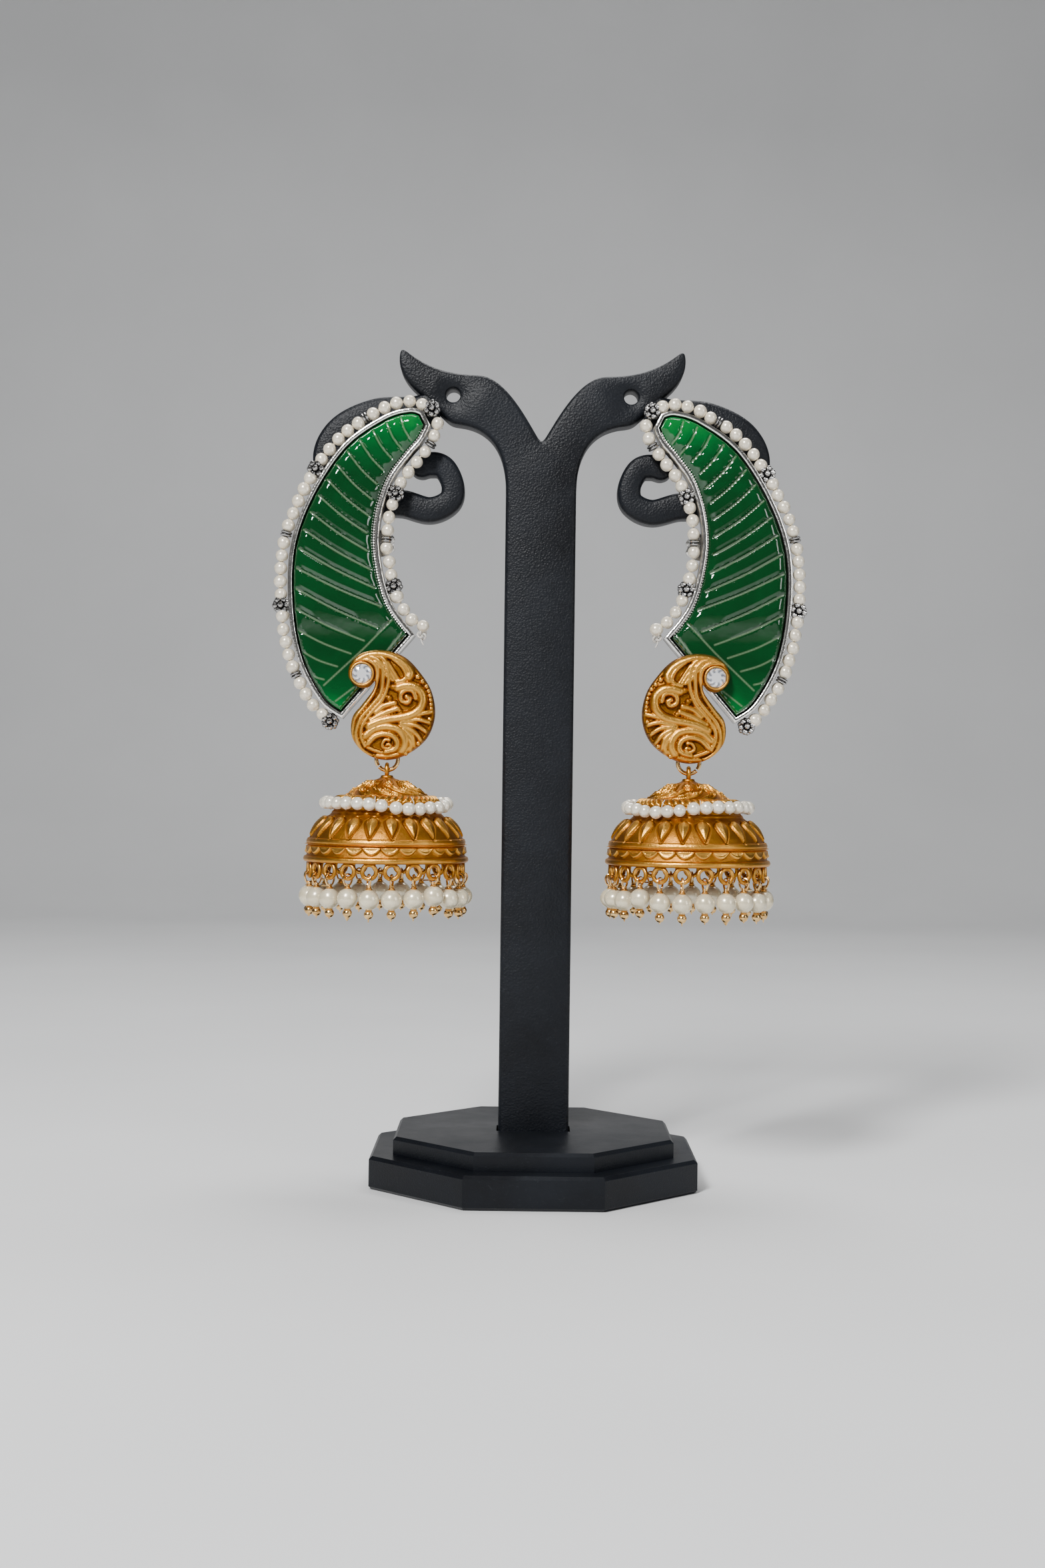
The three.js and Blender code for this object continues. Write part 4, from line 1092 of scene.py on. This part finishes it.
def eyelet(turn):
    angle = full_turn(24)
    height = EYELET_Z + EYELET_RADIUS * np.sin(angle)
    path = around(turn, DROP_RADIUS, EYELET_RADIUS * np.cos(angle), height)
    outwards = (math.sin(turn), -math.cos(turn), 0)
    worn = 0.75 + 0.25 * np.sin(3 * angle)[:, None]
    return tube(path, 0.4, 10, outwards, closed=True, worn=worn)


def ring_of_pearls(side):
    """Pearls on a thread round the neck, none quite level with the next, with a sag at one place
    that falls off as the exponential of the angle's cosine. Stitches hold the thread."""
    chance = np.random.default_rng(31 + side)
    count = NECK_PEARLS
    turn = np.arange(count) * TURN / count + chance.normal(0, 0.008, count)
    sag = 0.95 * np.exp(4 * (np.cos(turn + 0.55) - 1))
    height = NECK_Z - sag + 0.14 * np.sin(turn * 2 + 1) + chance.normal(0, 0.06, count)
    places = around(turn, NECK_REACH + chance.normal(0, 0.06, count), 0, height)
    radii = NECK_PEARL_RADIUS * chance.normal(1, 0.02, count)
    pearls = balls(places, radii, 11, 16, 0.025, seed=41 + side)
    threads = [tube(smooth_line(places, 240, True), 0.14, 6, (0, 0, 1), closed=True)]
    for angle in turn[::3]:
        below = around(angle + 0.1, 10.3, 0, 69.2)
        over = around(angle + 0.1, 12.2, 0, 70.4)
        above = around(angle + 0.12, 10.4, 0, 71.7)
        threads.append(tube(curve(below, over, above, count=12), 0.09, 5, (0, 0, 1)))
    return pearls, threads


def drops(word, side):
    """Each drop hangs from its eyelet on a wire loop that ends in a coil: pearl, cups, end bead and
    wire tip. The loop's width goes as the sine of an angle whose cosine gives its height. One drop
    hangs low, one has a thick tip, and some have a loose end of wire."""
    chance = np.random.default_rng(61 + side)
    pearls, beads, wires = [], [], []
    top = EYELET_Z - EYELET_RADIUS + 0.8
    for k in range(DROPS):
        turn = TURN * (k + 0.5) / DROPS
        sag = 0.55 if k == LOW_DROP else chance.uniform(-0.2, 0.1)
        middle = around(turn, DROP_RADIUS, 0, PEARL_MIDDLE + sag)
        radius = DROP_PEARL_RADIUS * chance.normal(1, 0.01)
        pearls.append(balls([middle], radius, 14, 20, 0.014, seed=100 + k))
        beads.append(balls([middle + (0, 0, -2.6)], END_BEAD_RADIUS, 10, 16, seed=k))
        beads.append(turned([(0.3, -2.0), (0.68, -1.88), (0.5, -1.7)], middle, sides=12, worn=0.5))
        beads.append(turned([(0.5, 1.74), (0.74, 1.92), (0.3, 2.12)], middle, sides=12, worn=0.5))
        twist = turn + chance.uniform(-0.6, 0.6)
        t = np.linspace(0, TURN, 34)
        wide = 0.86 * np.sin(t) * (1 - 0.3 * np.cos(t))
        foot = middle[2] + 2.15
        loop = np.column_stack([
            middle[0] + wide * math.sin(twist),
            middle[1] - wide * math.cos(twist),
            foot + (top - foot) * (1 - np.cos(t)) / 2,
        ])
        wires.append(tube(loop, 0.19, 8, (math.cos(twist), math.sin(twist), 0)))
        coil = np.linspace(0, 3 * TURN, 40)
        wrap = np.column_stack([0.36 * np.cos(coil), 0.36 * np.sin(coil), 2.0 + 0.6 * coil / coil[-1]])
        wires.append(tube(middle + wrap, 0.15, 6, (0, 0, 1)))
        if k % 5 == 2:
            end = around(turn, DROP_RADIUS + 0.5, 1.5, middle[2] + 2.35)
            wires.append(tube(curve(middle + (0, 0, 2.3), end, count=5), 0.15, 6, (0, 0, 1)))
        tip = chance.uniform(0.2, 0.55)
        radii = [0.5, 0.3, 0.06] if k == THICK_TIP else [0.15, 0.13, 0.06]
        drop_end = middle + np.array([(0, 0, -3.25), (0.03, 0, -3.4 - tip / 2), (0.06, 0, -3.45 - tip)])
        wires.append(tube(drop_end, radii, 8, (0, 1, 0)))
    nodes = [f"{word}_drop_{k + 1:02d}" for k in range(DROPS)]
    piece(word + "_drop_pearls", pearls, drop_pearl, word + "_bell", side, nodes)
    piece(word + "_end_beads", beads, wire_gold, word + "_bell", side)
    piece(word + "_drop_wires", wires, wire_gold, word + "_bell", side)


for side, word in ((1, "right"), (-1, "left")):
    bell = word + "_bell"
    setting = [crescent_setting(), milled_wire(), *back_fittings()]
    piece(word + "_setting", setting, bezel_silver, "stand", side, [word + "_frame"])
    stone = [carved_plate(stone_edge, PLATE_FRONT - 0.3, stone_front, STONE_PITCH)]
    piece(word + "_carved_stone", stone, emerald, "stand", side, [word + "_stone"], 24)
    strung_pearls(word, side)
    collet, brilliant = diamond_setting()
    cast = carved_plate(paisley_edge, PAISLEY_BACK, paisley_front, PAISLEY_PITCH)
    staple = hoop(LINK_Z + LINK_RADIUS, 1.08, 0.36)
    paisley = [cast, paisley_beads(), collet, staple]
    piece(word + "_cast_paisley", paisley, gold, "stand", side, [word + "_paisley"], sharp=60)
    piece(word + "_diamond", [brilliant], diamond_clear, "stand", side, sharp=1)
    piece(word + "_open_link", [link()], wire_gold, word + "_link", side, [word + "_link_ring"])
    eye = hoop(LINK_Z - LINK_RADIUS, 1.1, 0.38)
    crown = [chased(BELL_CROWN, CROWN_ROWS, CROWN_LINING, crown_relief), eye]
    piece(word + "_chased_crown", crown, gold, bell, side, sharp=70)
    skirt = [chased(BELL_SKIRT, SKIRT_ROWS, SKIRT_LINING, skirt_relief)]
    skirt += [eyelet(TURN * (k + 0.5) / DROPS) for k in range(DROPS)]
    piece(word + "_chased_bell", skirt, gold, bell, side, [bell], sharp=70)
    ring, threads = ring_of_pearls(side)
    piece(word + "_neck_pearls", [ring], neck_pearl, bell, side, [word + "_bell_pearls"])
    piece(word + "_neck_thread", threads, thread, bell, side)
    drops(word, side)


# Floor, light and camera, with places in metres

LIGHTS_FACE = (0, 0, 0.09)
CAMERA_PLACE = (-0.0028, -0.377, 0.0743)
CAMERA_ROLL = math.radians(-0.71)
FOCAL_LENGTH = 68.88
FILM_WIDTH = 36


def cove():
    """A floor that turns up into a wall through a quarter round, in millimetres."""
    angle = np.linspace(0, math.pi / 2, 24)
    run = np.r_[-1400, 700 + 300 * np.sin(angle), 1000]
    level = np.r_[0, 300 * (1 - np.cos(angle)), 1800]
    x = np.array([-2200.0, 2200.0])
    points = np.stack(np.broadcast_arrays(x[None], run[:, None], level[:, None]), -1).reshape(-1, 3) * MM
    index = np.arange(len(points)).reshape(-1, 2)
    quads = np.stack([index[:-1, 0], index[:-1, 1], index[1:, 1], index[1:, 0]], -1)
    mesh = bpy.data.meshes.new("studio_cove")
    mesh.from_pydata(points.tolist(), [], quads.tolist())
    mesh.polygons.foreach_set("use_smooth", np.ones(len(quads), bool))
    mesh.materials.append(pale_paper())
    thing = bpy.data.objects.new("studio_cove", mesh)
    bpy.context.collection.objects.link(thing)


def softbox(name, place, size, power):
    """A rectangular light that faces the middle of the part."""
    light = bpy.data.lights.new(name, "AREA")
    light.shape = "RECTANGLE"
    light.size, light.size_y = size
    light.energy = power
    lamp = bpy.data.objects.new(name, light)
    lamp.location = place
    lamp.rotation_euler = (Vector(LIGHTS_FACE) - Vector(place)).to_track_quat("-Z", "Y").to_euler()
    bpy.context.collection.objects.link(lamp)


cove()
softbox("window_light", (-0.25, -0.55, 0.55), (0.14, 0.2), 9.0)
softbox("fill_light", (0.6, -0.45, 0.3), (0.2, 0.4), 1.5)
softbox("top_light", (0.05, 0.25, 0.8), (0.5, 0.4), 5.0)
world = bpy.data.worlds.new("soft_room")
world.use_nodes = True
room = world.node_tree.nodes["Background"].inputs
room["Color"].default_value = (0.9, 0.9, 0.91, 1)
room["Strength"].default_value = 0.09
bpy.context.scene.world = world

lens = bpy.data.cameras.new("photo_camera")
lens.sensor_fit = "HORIZONTAL"
lens.sensor_width = FILM_WIDTH
lens.lens = FOCAL_LENGTH
lens.clip_start = 0.01
lens.clip_end = 20
camera = bpy.data.objects.new("photo_camera", lens)
camera.location = CAMERA_PLACE
camera.rotation_euler = (math.radians(90), CAMERA_ROLL, 0)
bpy.context.collection.objects.link(camera)
bpy.context.scene.camera = camera
